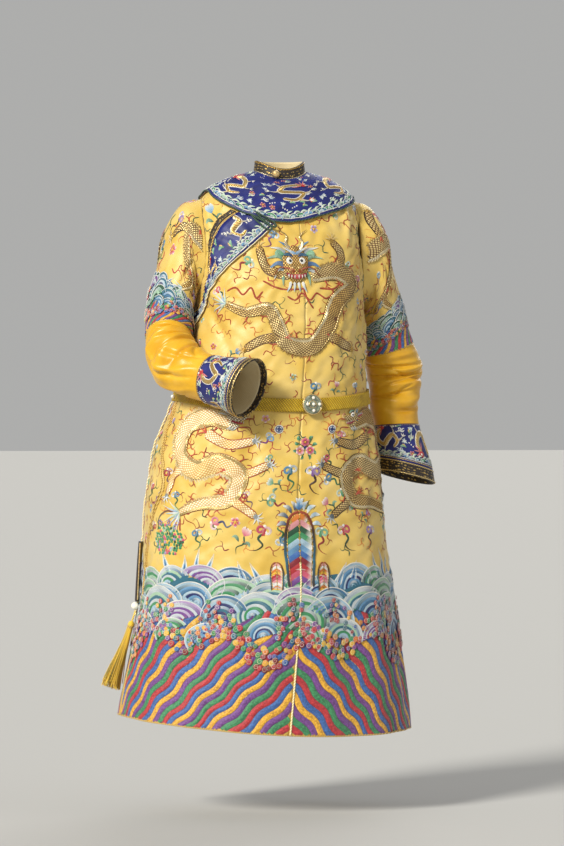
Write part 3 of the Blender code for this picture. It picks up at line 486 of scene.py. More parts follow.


# each look's gap colour is painted shade between the threads
clothLooks = {  # thread is drawn at about three times its real spacing, so that it shows
    "yellowSilk": {
        "dye": [(0.3, "#D6B24A"), (0.5, "#E0C468"), (0.7, "#E9D082")], "gap": "#D8B968", "bloom": "#FFF4D0",
        "roughness": 0.38, "float": 0.3, "sheen": 0.6, "cloud": 26.0, "thread": 0.62,
        "contrast": 0.5, "relief": 0.35, "turn": 0,
    },
    "orangeSatin": {
        "dye": [(0.3, "#D09A14"), (0.5, "#E0AE22"), (0.7, "#EBBB38")], "gap": "#D8A838", "bloom": "#FFE8B0",
        "roughness": 0.32, "float": 0.5, "sheen": 0.2, "cloud": 18.0, "thread": 0.55,
        "contrast": 0.3, "relief": 0.2, "turn": 0,
    },
    "blueSatin": {
        "dye": [(0.3, "#11185C"), (0.55, "#1B2676"), (0.75, "#24328C")], "gap": "#6670A8", "bloom": "#9AA6E8",
        "roughness": 0.48, "float": 0.2, "sheen": 0.15, "cloud": 9.0, "thread": 0.7,
        "contrast": 0.6, "relief": 0.35, "turn": 0,
    },
    "creamLining": {
        "dye": [(0.3, "#D8C59A"), (0.5, "#E2D2AA"), (0.7, "#E9DCB8")], "gap": "#C9B88F", "bloom": "#FFF6DD",
        "roughness": 0.7, "float": 0.0, "sheen": 0.2, "cloud": 20.0, "thread": 0.8,
        "contrast": 0.5, "relief": 0.4, "turn": 0,
    },
    "yellowWebbing": {
        "dye": [(0.3, "#C9A408"), (0.5, "#DDB814"), (0.7, "#E8C62C")], "gap": "#8E7606", "bloom": "#FFE880",
        "roughness": 0.6, "float": 0.0, "sheen": 0.15, "cloud": 5.0, "thread": 1.15,
        "contrast": 0.8, "relief": 1.0, "turn": 45,
    },
}


# Silk brocade: a dark ground with small gold-thread sprigs woven into it.
def wovenBrocade(name, look):
    material, node, shader = startMaterial(name, {"Sheen Weight": 0.15, "Sheen Roughness": 0.4})
    flat = node("UVMap", {}, uv_map="flat")
    wander = node("TexNoise", {"Vector": flat, "Scale": 0.4, "Detail": 2.0}, 1)
    place = node("VectorMath", {0: wander, 1: (1.2, 1.2, 0), 2: flat}, operation="MULTIPLY_ADD")
    scattered = {"Vector": place, "Scale": 1 / look["sprig"], "Randomness": 0.75}
    sprig = node("TexVoronoi", scattered, feature="DISTANCE_TO_EDGE")
    rings = {"Vector": place, "Scale": bandScale / look["sprig"], "Distortion": 5.0, "Detail": 1.0}
    petals = node("TexWave", rings, 1, wave_type="RINGS")
    woven = node("Math", {0: sprig, 1: petals}, operation="MULTIPLY")
    gilt = node("MapRange", {"Value": woven, "From Min": look["cover"], "From Max": look["cover"] + 0.06})
    colour = node("Mix", {0: gilt, 6: rgba(look["ground"]), 7: rgba(look["gold"])}, 2, data_type="RGBA")
    feed(shader, {
        "Base Color": colour, "Metallic": node("Math", {0: gilt, 1: 0.7}, operation="MULTIPLY"),
        "Roughness": node("MapRange", {"Value": gilt, "To Min": 0.6, "To Max": 0.38}),
        "Normal": node("Bump", {"Height": gilt, "Strength": 0.6, "Distance": 0.2 * mm}),
    })
    return material


brocadeLook = {"ground": "#231912", "gold": "#B99B56", "sprig": 1.9, "cover": 0.1}


# Jade, pearl and gilt brass, polished by hand; lacquer, brushed on wood.
def polished(name, look):
    material, node, shader = startMaterial(
        name, {"Metallic": look["metallic"], "Coat Weight": look["coat"], "Coat Roughness": 0.1}
    )
    if "ior" in look:
        shader.inputs["IOR"].default_value = look["ior"]
    place = node("TexCoord", {}, "Object")
    veins = node("TexNoise", {"Vector": place, "Scale": 1 / (look["grain"] * mm), "Detail": 5.0})
    rough = {"Value": veins, "To Min": look["roughness"] * 0.75, "To Max": look["roughness"] * 1.3}
    feed(shader, {
        "Base Color": node("ValToRGB", {"Fac": veins}, stops=look["colours"]),
        "Roughness": node("MapRange", rough),
        "Normal": node("Bump", {"Height": veins, "Strength": look["relief"], "Distance": 0.1 * mm}),
    })
    return material


polishedLooks = {
    "greyJade": {
        "colours": [(0.3, "#4A5041"), (0.5, "#737B68"), (0.7, "#9BA28E")], "grain": 1.6,
        "roughness": 0.28, "metallic": 0.0, "coat": 0.3, "relief": 0.2, "ior": 1.61,
    },
    "seedPearl": {
        "colours": [(0.3, "#E4DCCB"), (0.5, "#F2ECDD"), (0.7, "#FBF8EE")], "grain": 1.2,
        "roughness": 0.25, "metallic": 0.0, "coat": 0.5, "relief": 0.08, "ior": 1.53,
    },
    "giltBrass": {
        "colours": [(0.3, "#B99350"), (0.5, "#DDBE82"), (0.7, "#F1DDAE")], "grain": 0.8,
        "roughness": 0.34, "metallic": 0.85, "coat": 0.0, "relief": 0.5,
    },
    "brownLacquer": {
        "colours": [(0.3, "#170F0C"), (0.5, "#241712"), (0.7, "#35231A")], "grain": 2.4,
        "roughness": 0.24, "metallic": 0.0, "coat": 0.6, "relief": 0.15, "ior": 1.54,
    },
}


# Twisted silk cord: two plies wound together in slanting beads; its colours paint a highlight on each ply and
# shade between the plies, and its bump catches the light.
def twistedCord(name, look):
    silk = {"Roughness": 0.6, "Sheen Weight": 0.3, "Sheen Roughness": 0.4}
    material, node, shader = startMaterial(name, silk)
    place = node("TexCoord", {}, "Object")
    slanted = node("Mapping", {"Vector": place, "Rotation": (0.4, 0.7, 0.0)})
    wound = {"Vector": slanted, "Scale": bandScale / (look["twist"] * mm), "Distortion": 0.6}
    plies = node("TexWave", wound, 1, bands_direction="Z")
    feed(shader, {
        "Base Color": node("ValToRGB", {"Fac": plies}, stops=look["colours"]),
        "Normal": node("Bump", {"Height": plies, "Strength": 0.8, "Distance": 0.25 * mm}),
    })
    return material


# each ramp runs from painted shade between the plies to a painted highlight on them
cordLooks = {
    "creamCord": {"twist": 1.1, "colours": [(0.0, "#B79C5E"), (0.5, "#E9D79A"), (1.0, "#FBF2CE")]},
    "goldCord": {"twist": 1.0, "colours": [(0.0, "#8A6828"), (0.5, "#C79B40"), (1.0, "#E8CC80")]},
    "darkCord": {"twist": 0.9, "colours": [(0.0, "#14241C"), (0.5, "#24402F"), (1.0, "#3E6048")]},
    "tasselSilk": {"twist": 0.8, "colours": [(0.0, "#C89A10"), (0.45, "#F0C420"), (1.0, "#FFE25A")]},
    "oliveSilk": {"twist": 0.8, "colours": [(0.0, "#4A4418"), (0.5, "#8E8030"), (1.0, "#B7A548")]},
}


def makeMaterials():
    made = {"darkBrocade": wovenBrocade("darkBrocade", brocadeLook)}
    for kind, looks in ((wovenSilk, clothLooks), (polished, polishedLooks), (twistedCord, cordLooks)):
        made.update({name: kind(name, look) for name, look in looks.items()})
    return made


# Meshes from grids of points in millimetres, with their flat places kept in a UV map.
def flatten(points, middle=0):
    x = arcAlong(points, 1)
    y = arcAlong(points[:, middle])[:, None]
    return np.stack([x - x[:, middle, None], np.broadcast_to(y, x.shape)], -1)


def buildMesh(name, points, faces, slots, materials, uvMaps, smooth=None, colours=None):
    faces = np.asarray(faces)
    count, sides = faces.shape
    mesh = bpy.data.meshes.new(name)
    mesh.vertices.add(len(points))
    mesh.vertices.foreach_set("co", (np.asarray(points) * mm).astype(np.float32).ravel())
    mesh.loops.add(count * sides)
    mesh.loops.foreach_set("vertex_index", faces.astype(np.int32).ravel())
    mesh.polygons.add(count)
    mesh.polygons.foreach_set("loop_start", np.arange(0, count * sides, sides, dtype=np.int32))
    mesh.polygons.foreach_set("material_index", np.asarray(slots, np.int32))
    mesh.update(calc_edges=True)
    mesh.polygons.foreach_set("use_smooth", np.ones(count, bool) if smooth is None else smooth)
    for mapName, places in uvMaps.items():
        layer = mesh.uv_layers.new(name=mapName)
        layer.data.foreach_set("uv", np.asarray(places, np.float32).ravel())
    if colours is not None:
        layer = mesh.color_attributes.new("floss", "FLOAT_COLOR", "POINT")
        full = np.concatenate([colours, np.ones((len(colours), 1))], axis=1)
        layer.data.foreach_set("color", full.astype(np.float32).ravel())
    for material in materials:
        mesh.materials.append(material)
    mesh.validate()
    return addObject(mesh)


def wall(name, outside, inside, materials, ring=False):  # a thin closed shell between two grids
    rows, columns = outside.shape[:2]
    flat = flatten(np.concatenate([outside, outside[:, :1]], axis=1) if ring else outside)
    wide = columns if ring else columns - 1
    r, c = cells(rows - 1, wide)
    corners = [(r, c), (r, c + 1), (r + 1, c + 1), (r + 1, c)]
    shift = rows * columns
    outer = np.stack([a * columns + b % columns for a, b in corners], -1)
    places = np.stack([flat[a, b] for a, b in corners], 1)
    r0, c0 = rows // 2, wide // 2
    middle = outside[r0, c0]
    facing = np.cross(outside[r0, c0 + 1] - middle, outside[r0 + 1, c0] - middle)
    parts = [(outer, places, 0, True), (outer[:, ::-1] + shift, places[:, ::-1], 1, True)]
    tall, steps = rows - 1, np.arange(wide)
    edges = [(steps * 0, steps, 0, 1), (steps * 0 + tall, steps[::-1] + 1, 0, -1)]
    if not ring:
        steps = np.arange(tall)
        edges += [(steps[::-1] + 1, steps * 0, -1, 0), (steps, steps * 0 + columns - 1, 1, 0)]
    for er, ec, dr, dc in edges:
        a, b = er * columns + ec % columns, (er + dr) * columns + (ec + dc) % columns
        face = np.stack([b, a, a + shift, b + shift], -1)
        near, far = flat[er, ec], flat[er + dr, ec + dc]
        parts.append((face, np.stack([far, near, near, far], 1), 0, False))
    faces = np.concatenate([p[0] for p in parts])
    uv = np.concatenate([p[1] for p in parts])
    slots = np.concatenate([np.full(len(p[0]), p[2]) for p in parts])
    smooth = np.concatenate([np.full(len(p[0]), p[3]) for p in parts])
    if np.dot(facing, middle - inside[r0, c0]) <= 0:
        faces, uv = faces[:, ::-1], uv[:, ::-1]
    low, span = uv.min((0, 1)), np.ptp(uv, axis=(0, 1))
    baked = (uv - low) / span * [0.47, 0.96] + [0.01, 0.02]
    baked[slots == 1] += [0.5, 0]
    points = np.concatenate([outside.reshape(-1, 3), inside.reshape(-1, 3)])
    return buildMesh(name, points, faces, slots, materials, {"flat": uv, "OFBake": baked}, smooth)


def clothSize(outside):  # the flat width, length and area of a grid of cloth, in metres
    flat = flatten(outside, outside.shape[1] // 2)
    wide = np.ptp(flat[..., 0], axis=1)
    long = flat[-1, 0, 1]
    a = outside[1:, 1:] - outside[:-1, :-1]
    b = outside[1:, :-1] - outside[:-1, 1:]
    area = np.linalg.norm(np.cross(a, b), axis=-1).sum() / 2
    return (float(wide.max() * mm), float(long * mm)), float(min(area, wide.max() * long) * mm * mm)


def settle(piece, node):
    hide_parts(node)
    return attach(piece, "root")


# The body's four panels, and what is laid over them.
thick = 0.9  # the cloth and its lining together


def sideAngle(run, side, toward):  # a panel's side edge: side seam, armhole, then shoulder
    low, high = armholeRuns
    share = np.clip((run - low) / (high - low), 0, 1)
    away = form["armholeAngle"] * 2 * np.sqrt(share * (1 - share))
    if side > 0:
        return toward * away
    return spline(closure["height"], closure["angle"], heightAt(run)) - toward * away


def frontAngle(run):
    return np.interp(heightAt(run), frontSeam["height"], frontSeam["angle"])


def panelGrids(side, toward):
    low, high = armholeRuns
    armhole = low + (high - low) * (1 - np.cos(np.linspace(0, math.pi, 52))) / 2
    skirt = np.linspace(0, low, 130, endpoint=False)
    run = np.concatenate([skirt, armhole, np.linspace(high, neckRun, 20)[1:]])[:, None]
    centre = frontAngle(run) if toward < 0 else np.full(run.shape, form["back"])
    if side < 0:
        centre = centre % 360
    edge = sideAngle(run, side, toward)
    halfSeam = np.degrees(form["seam"] / 2 / spline(sectionRun, bodySections["back"], run))
    inset = np.sign(edge - centre) * halfSeam
    start, end = centre + inset, edge - inset
    angle = start + (end - start) * np.linspace(0, 1, 58)[None, :]
    return body(angle, run), body(angle, run, -thick)


def sleeveGrids(sleeve, first, last, rows, columns):
    numbers = np.linspace(first, last, rows)
    length = np.diff(np.interp([first, last], np.arange(len(sleeve.knots)), sleeve.knots))[0]
    inset = form["sleeveSeam"] / 2 / length * (last - first)
    if first > 0:
        numbers[0] += inset
    numbers[-1] -= inset
    around, section = np.meshgrid(np.linspace(0, 360, columns, endpoint=False), numbers)
    return sleeve(around, section), sleeve(around, section, -thick)


def capeEdgeRun(angle):
    return runAt(spline(capeEdge["angle"], capeEdge["height"], turn(angle)))


capeTop = neckRun - 0.4  # the cape ends just under the neck's edge


def capeSurface(angle, share, lift=0.0):  # share is 0 at the edge and 1 at the neck
    run = capeEdgeRun(angle) * (1 - share) + capeTop * share
    off = form["capeClear"] + form["capeFlare"] * (1 - share) ** 2 + form["band"]
    return body(angle, run, off + lift)


def overlapSurface(along, across, lift=0.0):  # across is 0 at the upper edge and 1 at the lower
    rows = np.arange(len(overlapLine["upperAngle"]), dtype=float)
    edge = splines(rows, overlapLine, along * rows[-1])
    angle = edge["upperAngle"] * (1 - across) + edge["lowerAngle"] * across
    height = edge["upperHeight"] * (1 - across) + edge["lowerHeight"] * across
    return body(angle, runAt(height), form["gap"] + form["band"] + lift)


stand = {"foot": 0.4, "rise": 6.8, "lean": 0.06}


def standSurface(angle, share, lift=0.0):
    foot = bodyPlain(angle, neckRun)
    middle = bodyPlain(np.linspace(-180, 180, 60), neckRun).mean(0)
    spread = (foot - middle) * [1, 1, 0]
    rise = np.zeros(foot.shape)
    rise[..., 2] = stand["foot"] + stand["rise"] * share
    outside = foot - spread * stand["lean"] * np.asarray(share)[..., None] + rise
    return outside + np.asarray(lift)[..., None] * unit(spread)


belt = {"width": 8.0, "thick": 1.2, "clear": 0.5}


def beltSurface(angle, up, lift=0.0):
    return body(angle, runAt(beltMiddle(angle)) + up, belt["clear"] + lift)


def makeCloth(materials):
    sheets = {}

    def lay(node, outside, inside, face, lining, slotName, ring=False, name="cloth"):
        piece = wall(f"{node}_{name}", outside, inside, [materials[face], materials[lining]], ring)
        settle(piece, node)
        closed = np.concatenate([outside, outside[:, :1]], axis=1) if ring else outside
        sheets[node] = (piece, *clothSize(closed))

    for node, side, toward in (
        ("front_left", 1, -1), ("front_right", -1, -1), ("back_left", 1, 1), ("back_right", -1, 1)
    ):
        lay(node, *panelGrids(side, toward), "yellowSilk", "creamLining", "yellow_silk")
    say("panels")
    ends = (0, form["bandSeam"], form["cuffSeam"], form["trimSeam"], form["handEnd"])
    for name, sleeve in (("left", leftSleeve), ("right", rightSleeve)):
        for first, last, (part, rows, columns, *looks) in zip(ends[:-1], ends[1:], (
            ("sleeve_upper_", 62, 84, "yellowSilk", "creamLining", "yellow_silk"),
            ("sleeve_lower_", 104, 120, "orangeSatin", "creamLining", "orange_satin"),
            ("cuff_", 18, 84, "blueSatin", "creamLining", "blue_silk"),
            ("cuff_trim_", 8, 84, "darkBrocade", "darkBrocade", "brocade"),
        )):
            lay(part + name, *sleeveGrids(sleeve, first, last, rows, columns), *looks, True)
    say("sleeves")
    blue, edging = ("blueSatin", "creamLining", "blue_silk"), ("darkBrocade", "creamLining", "brocade")
    webbing = ("yellowWebbing", "yellowWebbing", "webbing")
    capeTurn, beltTurn = (np.linspace(-180, 180, count, endpoint=False) for count in (240, 260))
    neckTurn, along = np.linspace(-109, 249, 150), np.linspace(0, 1, 90)
    acrossBelt = np.linspace(-0.5, 0.5, 9) * belt["width"]
    for node, surface, us, vs, lift, deep, *looks in (
        ("cape_collar", capeSurface, capeTurn, np.linspace(0, 1, 22), 0.0, thick, *blue, True),
        ("stand_collar", standSurface, neckTurn, np.linspace(0, 1, 8), 0.0, thick, *edging),
        ("overlap_band", overlapSurface, along, np.linspace(0.18, 1, 10), 0.0, 0.75, *blue),
        ("overlap_trim", overlapSurface, along, np.linspace(-0.01, 0.13, 4), -0.2, 0.75, *edging),
        ("belt", beltSurface, beltTurn, acrossBelt, belt["thick"], 1.1, *webbing, True, "webbing"),
    ):
        u, v = np.meshgrid(us, vs)
        height = np.full(u.shape, lift)
        lay(node, surface(u, v, height), surface(u, v, height - deep), *looks)
    say("collar, overlap and belt")
    return sheets


# Embroidery: each line of stitching is a narrow raised ribbon over the cloth, in its floss's colour.
groundCells = {"measured": 240, "kept": 600}  # across each row of a ground


class Ground:  # flat millimetres over a surface: x across from its middle line, y along it
    def __init__(self, surface, rows, places, middles, reach, steady=None):
        self.surface, self.rows, self.places = surface, rows, places
        us = middles[:, None] + np.linspace(-reach, reach, groundCells["measured"] + 1)
        arc = arcAlong(surface(us, np.broadcast_to(rows[:, None], us.shape)), 1)
        arc = arc - arc[:, groundCells["measured"] // 2, None]
        self.spread = np.ptp(arc, axis=1)
        if steady is not None:  # every row takes this row's x
            arc = np.repeat(arc[steady:steady + 1], len(arc), axis=0)
            self.spread = self.spread / self.spread[steady]
        self.half = float(np.abs(arc).max())
        self.xs = np.linspace(-self.half, self.half, groundCells["kept"] + 1)
        self.us = np.array([np.interp(self.xs, a, u) for a, u in zip(arc, us)])

    def find(self, flat):  # the surface's own coordinates at flat places
        y = np.clip(flat[..., 1], self.places[0], self.places[-1])
        r = np.interp(y, self.places, np.arange(len(self.places)))
        c = (flat[..., 0] + self.half) / (2 * self.half) * groundCells["kept"]
        r0 = np.clip(r.astype(int), 0, len(self.places) - 2)
        c0 = np.clip(c.astype(int), 0, groundCells["kept"] - 1)
        fr, fc = r - r0, np.clip(c - c0, 0, 1)
        near, far = (self.us[row, c0] * (1 - fc) + self.us[row, c0 + 1] * fc for row in (r0, r0 + 1))
        return near * (1 - fr) + far * fr, np.interp(y, self.places, self.rows)


def roundEnd(share, long, wide):
    end = np.minimum(share, 1 - share) * long / np.maximum(wide / 2, 0.05)
    return np.sqrt(np.maximum(1 - np.maximum(1 - end, 0) ** 2, 0.03))


tapers = {
    "round": roundEnd,
    "none": lambda share, long, wide: np.ones(len(share)),
    "leaf": lambda share, long, wide: np.maximum(np.sin(share * math.pi), 0) ** 0.8 + 0.04,
    "petal": lambda share, long, wide: np.maximum(np.sin(share**1.5 * math.pi), 0) ** 0.7 + 0.06,
    "tail": lambda share, long, wide: np.minimum(1, share * 8 + 0.3) * (1 - share) ** 0.7 + 0.05,
}
threads = {"floss": 0, "gold": 1, "scales": 2, "knots": 3, "paleScales": 4}
layerStep, layerCount = 0.25, 5  # stitches laid over others are baked apart from them
seatLift = 0.07  # a ribbon's edges stand this far off the cloth
leastCell = 0.004  # stitches squeezed flatter than this at a seam are left out


class Needlework:
    def __init__(self):
        self.strips = []

    def add(self, flat, height, colours, stitch, thread, lift):
        self.strips.append((flat, lift + seatLift + height, colours, stitch, threads[thread], lift))

    def line(self, points, width, tones, lift=0.0, crown=0.28, taper="round", thread="floss",
             columns=3, step=0.9, bend=True):
        points = np.asarray(points, float)
        chord = arcAlong(points)
        at = np.linspace(0, chord[-1], max(4, int(chord[-1] / step) + 2))
        path = spline(chord, points, at) if bend and len(points) > 2 else blend(at, chord, points)
        along = arcAlong(path)
        share = along / along[-1]
        width = np.atleast_1d(np.asarray(width, float))
        wide = np.interp(share, np.linspace(0, 1, len(width)), width)
        wide = wide * tapers[taper](share, along[-1], wide)
        heading = unit(np.gradient(path, axis=0))
        sideways = np.stack([-heading[:, 1], heading[:, 0]], -1)
        across = np.linspace(-0.5, 0.5, columns)
        out = wide[:, None] * across
        flat = path[:, None] + sideways[:, None] * out[..., None]
        high = crown * np.minimum(1, wide / width.max())[:, None] * (1 - (2 * across) ** 2) ** 0.7
        stitch = np.stack([along[:, None] + 7.3 * len(self.strips) + np.zeros(out.shape), out], -1)
        shades = np.array([linear(flossColours[tone]) for tone in tones.split()])
        picked = blend(share, np.linspace(0, 1, len(shades)), shades)
        self.add(flat, high, np.broadcast_to(picked[:, None], (*out.shape, 3)), stitch, thread, lift)

    def dot(self, centre, radius, tone, lift=0.0, height=0.4, thread="floss"):
        s, t = np.meshgrid(np.linspace(-1, 1, 4), np.linspace(-1, 1, 4))
        disc = np.stack([s * np.sqrt(1 - t * t / 2), t * np.sqrt(1 - s * s / 2)], -1) * radius
        high = np.where((np.abs(s) < 1) & (np.abs(t) < 1), height, 0.0)
        colours = np.broadcast_to(linear(flossColours[tone]), (4, 4, 3))
        stitch = disc + 3.7 * len(self.strips)
        self.add(np.asarray(centre, float) + disc[::-1], high, colours, stitch, thread, lift)

    def sew(self, name, ground, materials, keep=lambda flat, u, v: True):
        flat, height, colours, stitch = (
            np.concatenate([strip[i].reshape(-1, wide) for strip in self.strips])
            for i, wide in enumerate((2, 1, 3, 2))
        )
        height = height[:, 0]
        faces, slots, layer, start = [], [], [], 0
        for strip in self.strips:
            rows, columns = strip[1].shape
            r, c = cells(rows - 1, columns - 1)
            a = r * columns + c + start
            faces.append(np.stack([a, a + columns, a + columns + 1, a + 1], -1))
            slots.append(np.full(len(a), strip[4]))
            layer.append(np.full(rows * columns, min(layerCount - 1, round(strip[5] / layerStep))))
            start += rows * columns
        faces, slots, layer = np.concatenate(faces), np.concatenate(slots), np.concatenate(layer)
        u, v = ground.find(flat)
        on = (flat[:, 1] >= ground.places[0]) & (flat[:, 1] <= ground.places[-1])
        on &= (np.abs(flat[:, 0]) < ground.half) & keep(flat, u, v)
        whole = on[faces].all(axis=1)
        used, faces = np.unique(faces[whole], return_inverse=True)
        faces, slots = faces.reshape(-1, 4), slots[whole]
        kept = (values[used] for values in (flat, height, colours, stitch, layer, u, v))
        flat, height, colours, stitch, layer, u, v = kept
        points = ground.surface(u, v, height)
        a, b, c, d = points[faces].swapaxes(0, 1)
        full = np.linalg.norm(np.cross(c - a, d - b), axis=1) > leastCell
        faces, slots = faces[full], slots[full]
        first = faces[:: max(1, len(faces) // 50)]
        a, b, d = (points[first[:, i]] for i in (0, 1, 3))
        above = (ground.surface(u, v, height + 1.0) - points)[first[:, 0]]
        if np.sum(np.cross(b - a, d - a) * above) < 0:  # turned to face out
            faces = faces[:, ::-1]
        baked = (flat - flat.min(0)) / np.ptp(flat, axis=0) * 0.98 + 0.01
        baked[:, 1] = (baked[:, 1] + layer) / layerCount
        uvMaps = {"stitch": stitch[faces], "OFBake": baked[faces]}
        piece = buildMesh(name, points, faces, slots, materials, uvMaps, colours=colours)
        print("robe:", name, len(faces) * 2, "triangles")
        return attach(piece, "root")


flossColours = {
    "white": "#F4F2E8", "cream": "#F3E6BE", "paleBlue": "#A8C8DC", "sky": "#6A9CC6", "steel": "#44769E",
    "blue": "#3F6FB5", "navy": "#232F6B", "teal": "#2F6E86", "red": "#C2353B", "crimson": "#8E2230",
    "rose": "#D6607A", "pink": "#E7A0A4", "orange": "#E0822F", "yellow": "#F0BA38", "paleGreen": "#A9CDB0",
    "green": "#3F9460", "darkGreen": "#26583D", "purple": "#7B4A97", "lilac": "#B79CCB", "brown": "#6A4420",
    "bark": "#43301F", "rust": "#AE4420", "gold": "#D2AC5C", "brightGold": "#EBD394", "paleGold": "#FBF1CF",
    "stripeGap": "#4A2B4C", "silver": "#C9D3D8", "grey": "#7E8B95", "black": "#1B1715",
}


# Reeled silk floss laid in satin stitch: each stitch catches the light along its own length, and painted
# shade darkens the grooves between its strands.
def silkFloss(name, look):
    material, node, shader = startMaterial(
        name, {"Metallic": look["metallic"], "Sheen Weight": look["sheen"], "Sheen Roughness": 0.35}
    )
    stitch = node("UVMap", {}, uv_map="stitch")
    slant = node("Mapping", {"Vector": stitch, "Rotation": (0, 0, math.radians(look["slant"]))})
    laid = {"Vector": slant, "Scale": bandScale / look["strand"], "Distortion": 1.5, "Detail": 2.0}
    strand = node("TexWave", laid, 1)
    uneven = node("TexNoise", {"Vector": stitch, "Scale": 0.35, "Detail": 3.0})
    height = node("Math", {0: strand, 1: uneven}, operation="ADD")
    # painted shade: the gap colour darkens the floss between the strands
    shade = node("ValToRGB", {"Fac": strand}, stops=[(0.0, look["gap"]), (0.55, "#FFFFFF")])
    own = node("Attribute", {}, attribute_name="floss")
    colour = node("Mix", {0: 1.0, 6: own, 7: shade}, 2, data_type="RGBA", blend_type="MULTIPLY")
    rough = {"Value": uneven, "To Min": look["roughness"] - 0.1, "To Max": look["roughness"] + 0.12}
    feed(shader, {
        "Base Color": colour, "Roughness": node("MapRange", rough),
        "Normal": node("Bump", {"Height": height, "Strength": look["relief"], "Distance": 0.25 * mm}),
    })
    return material


# Gold thread couched in a net over the dragons: bright wrapped gold under a lattice of brown silk.
def couchedNet(name, look):
    material, node, shader = startMaterial(name, {})
    stitch = node("UVMap", {}, uv_map="stitch")
    lines = []
    for angle in (look["slant"], -look["slant"]):
        turned = node("Mapping", {"Vector": stitch, "Rotation": (0, 0, math.radians(angle))})
        band = {"Vector": turned, "Scale": bandScale / look["pitch"], "Distortion": 0.5}
        lines.append(node("TexWave", band, 1))
    crossed = node("Math", {0: lines[0], 1: lines[1]}, operation="MINIMUM")
    gold = node("MapRange", {"Value": crossed, "From Min": look["line"], "From Max": look["line"] + 0.16})
    own = node("Attribute", {}, attribute_name="floss")
    feed(shader, {
        "Base Color": node("Mix", {0: gold, 6: rgba(look["net"]), 7: own}, 2, data_type="RGBA"),
        "Metallic": node("Math", {0: gold, 1: look["metallic"]}, operation="MULTIPLY"),
        "Roughness": node("MapRange", {"Value": gold, "To Min": 0.65, "To Max": 0.4}),
        "Normal": node("Bump", {"Height": crossed, "Strength": 0.6, "Distance": 0.3 * mm}),
    })
    return material


# Rows of seed knots packed side by side: a pebbled, matt line, each knot pale at its middle and darker to its
# edge, with painted shade in the dark gaps between the knots.
def seedKnots(name, look):
    silk = {"Sheen Weight": 0.25, "Sheen Roughness": 0.5, "Roughness": 0.55}
    material, node, shader = startMaterial(name, silk)
    stitch = node("UVMap", {}, uv_map="stitch")
    knots = node("TexVoronoi", {"Vector": stitch, "Scale": 1 / look["knot"], "Randomness": 0.7})
    own = node("Attribute", {}, attribute_name="floss")
    # painted shade: each knot darkens from its middle to the gap colour at its edge
    gaps = [(0.0, "#FFFFFF"), (0.45, "#E4DEDC"), (0.8, look["gap"])]
    shade = node("ValToRGB", {"Fac": knots}, stops=gaps)
    colour = node("Mix", {0: 1.0, 6: own, 7: shade}, 2, data_type="RGBA", blend_type="MULTIPLY")
    lighter = node("SeparateColor", {"Color": knots.node.outputs["Color"]})
    varied = node("MapRange", {"Value": lighter, "To Min": look["dull"], "To Max": look["bright"]})
    pebbled = {"Height": knots, "Strength": 0.8, "Distance": 0.35 * mm}
    feed(shader, {
        "Base Color": node("VectorMath", {0: colour, "Scale": varied}, operation="SCALE"),
        "Normal": node("Bump", pebbled, invert=True),
    })
    return material


def threadMaterials():  # in the order of the thread slots; stitches are drawn at about twice their real width
    # each gap colour is painted shade between the strands or the knots
    plain = {"metallic": 0.0, "sheen": 0.3, "slant": 20, "strand": 0.5, "gap": "#A9A19A"}
    wrapped = {"metallic": 0.75, "sheen": 0.0, "slant": 62, "strand": 0.7, "gap": "#8A6A33"}
    net = {"slant": 52, "pitch": 1.2, "line": 0.18, "net": "#5A3A1C", "metallic": 0.55}
    paleNet = {"slant": 52, "pitch": 1.3, "line": 0.12, "net": "#C08A3C", "metallic": 0.15}
    return [
        silkFloss("silkFloss", {**plain, "roughness": 0.42, "relief": 0.5}),
        silkFloss("wrappedGold", {**wrapped, "roughness": 0.34, "relief": 0.6}),
        couchedNet("couchedGoldNet", net),
        seedKnots("seedKnots", {"knot": 1.0, "gap": "#B5A6AC", "dull": 0.9, "bright": 1.14}),
        couchedNet("couchedPaleNet", paleNet),
    ]


# Motifs. Each is drawn about its own middle by a pen that turns, sizes and mirrors all it draws.
def polar(angle, long=1.0, ahead=(1.0, 0.0)):  # a ray so many degrees round from straight ahead
    c, s = math.cos(math.radians(angle)), math.sin(math.radians(angle))
    return np.array([ahead[0] * c - ahead[1] * s, ahead[0] * s + ahead[1] * c]) * long


class Pen:
    def __init__(self, work, x, y, size=1.0, angle=0.0, mirror=1, widen=1.0, lift=0.0):
        along, across = polar(angle, size), polar(angle + 90, size)
        self.work, self.size, self.mirror, self.lift = work, size, mirror, lift
        self.turned, self.stretch, self.middle = np.array([along, across]), [widen, 1], [x, y]

    def at(self, points):
        return (np.asarray(points, float) * [self.mirror, 1]) @ self.turned * self.stretch + self.middle

    def line(self, points, wide, tones, up=0.0, crown=0.28, taper="round", **more):
        wide = np.multiply(wide, self.size)
        self.work.line(self.at(points), wide, tones, self.lift + up, crown, taper, **more)

    def tail(self, points, wide, tones, up=0.0, crown=0.28, **more):  # a stroke that thins to a point
        self.line(points, wide, tones, up, crown, "tail", **more)

    def leaf(self, start, end, wide, tones, up=0.0, bow=0.2):
        start, end = np.array(start, float), np.array(end, float)
        out = np.array([start[1] - end[1], end[0] - start[0]]) * bow
        self.line([start, (start + end) / 2 + out, end], wide, tones, up, taper="leaf")

    def dot(self, place, radius, tone, up=0.0, high=0.4, **more):
        self.work.dot(self.at(place), radius * self.size, tone, self.lift + up, high, **more)

    def near(self, place, size=1.0, up=0.0):  # an upright pen at one of this one's places
        return Pen(self.work, *self.at(place), self.size * size, lift=self.lift + up)


def arcPoints(centre, radius, start, stop, count=9, flat=1.0):
    a = np.radians(np.linspace(start, stop, count))
    return np.stack([centre[0] + radius * np.cos(a), centre[1] + radius * flat * np.sin(a)], -1)


def coil(centre, outer, inner, start, turns, count=14):
    return arcPoints(centre, np.linspace(outer, inner, count), start, start + 360 * turns, count)


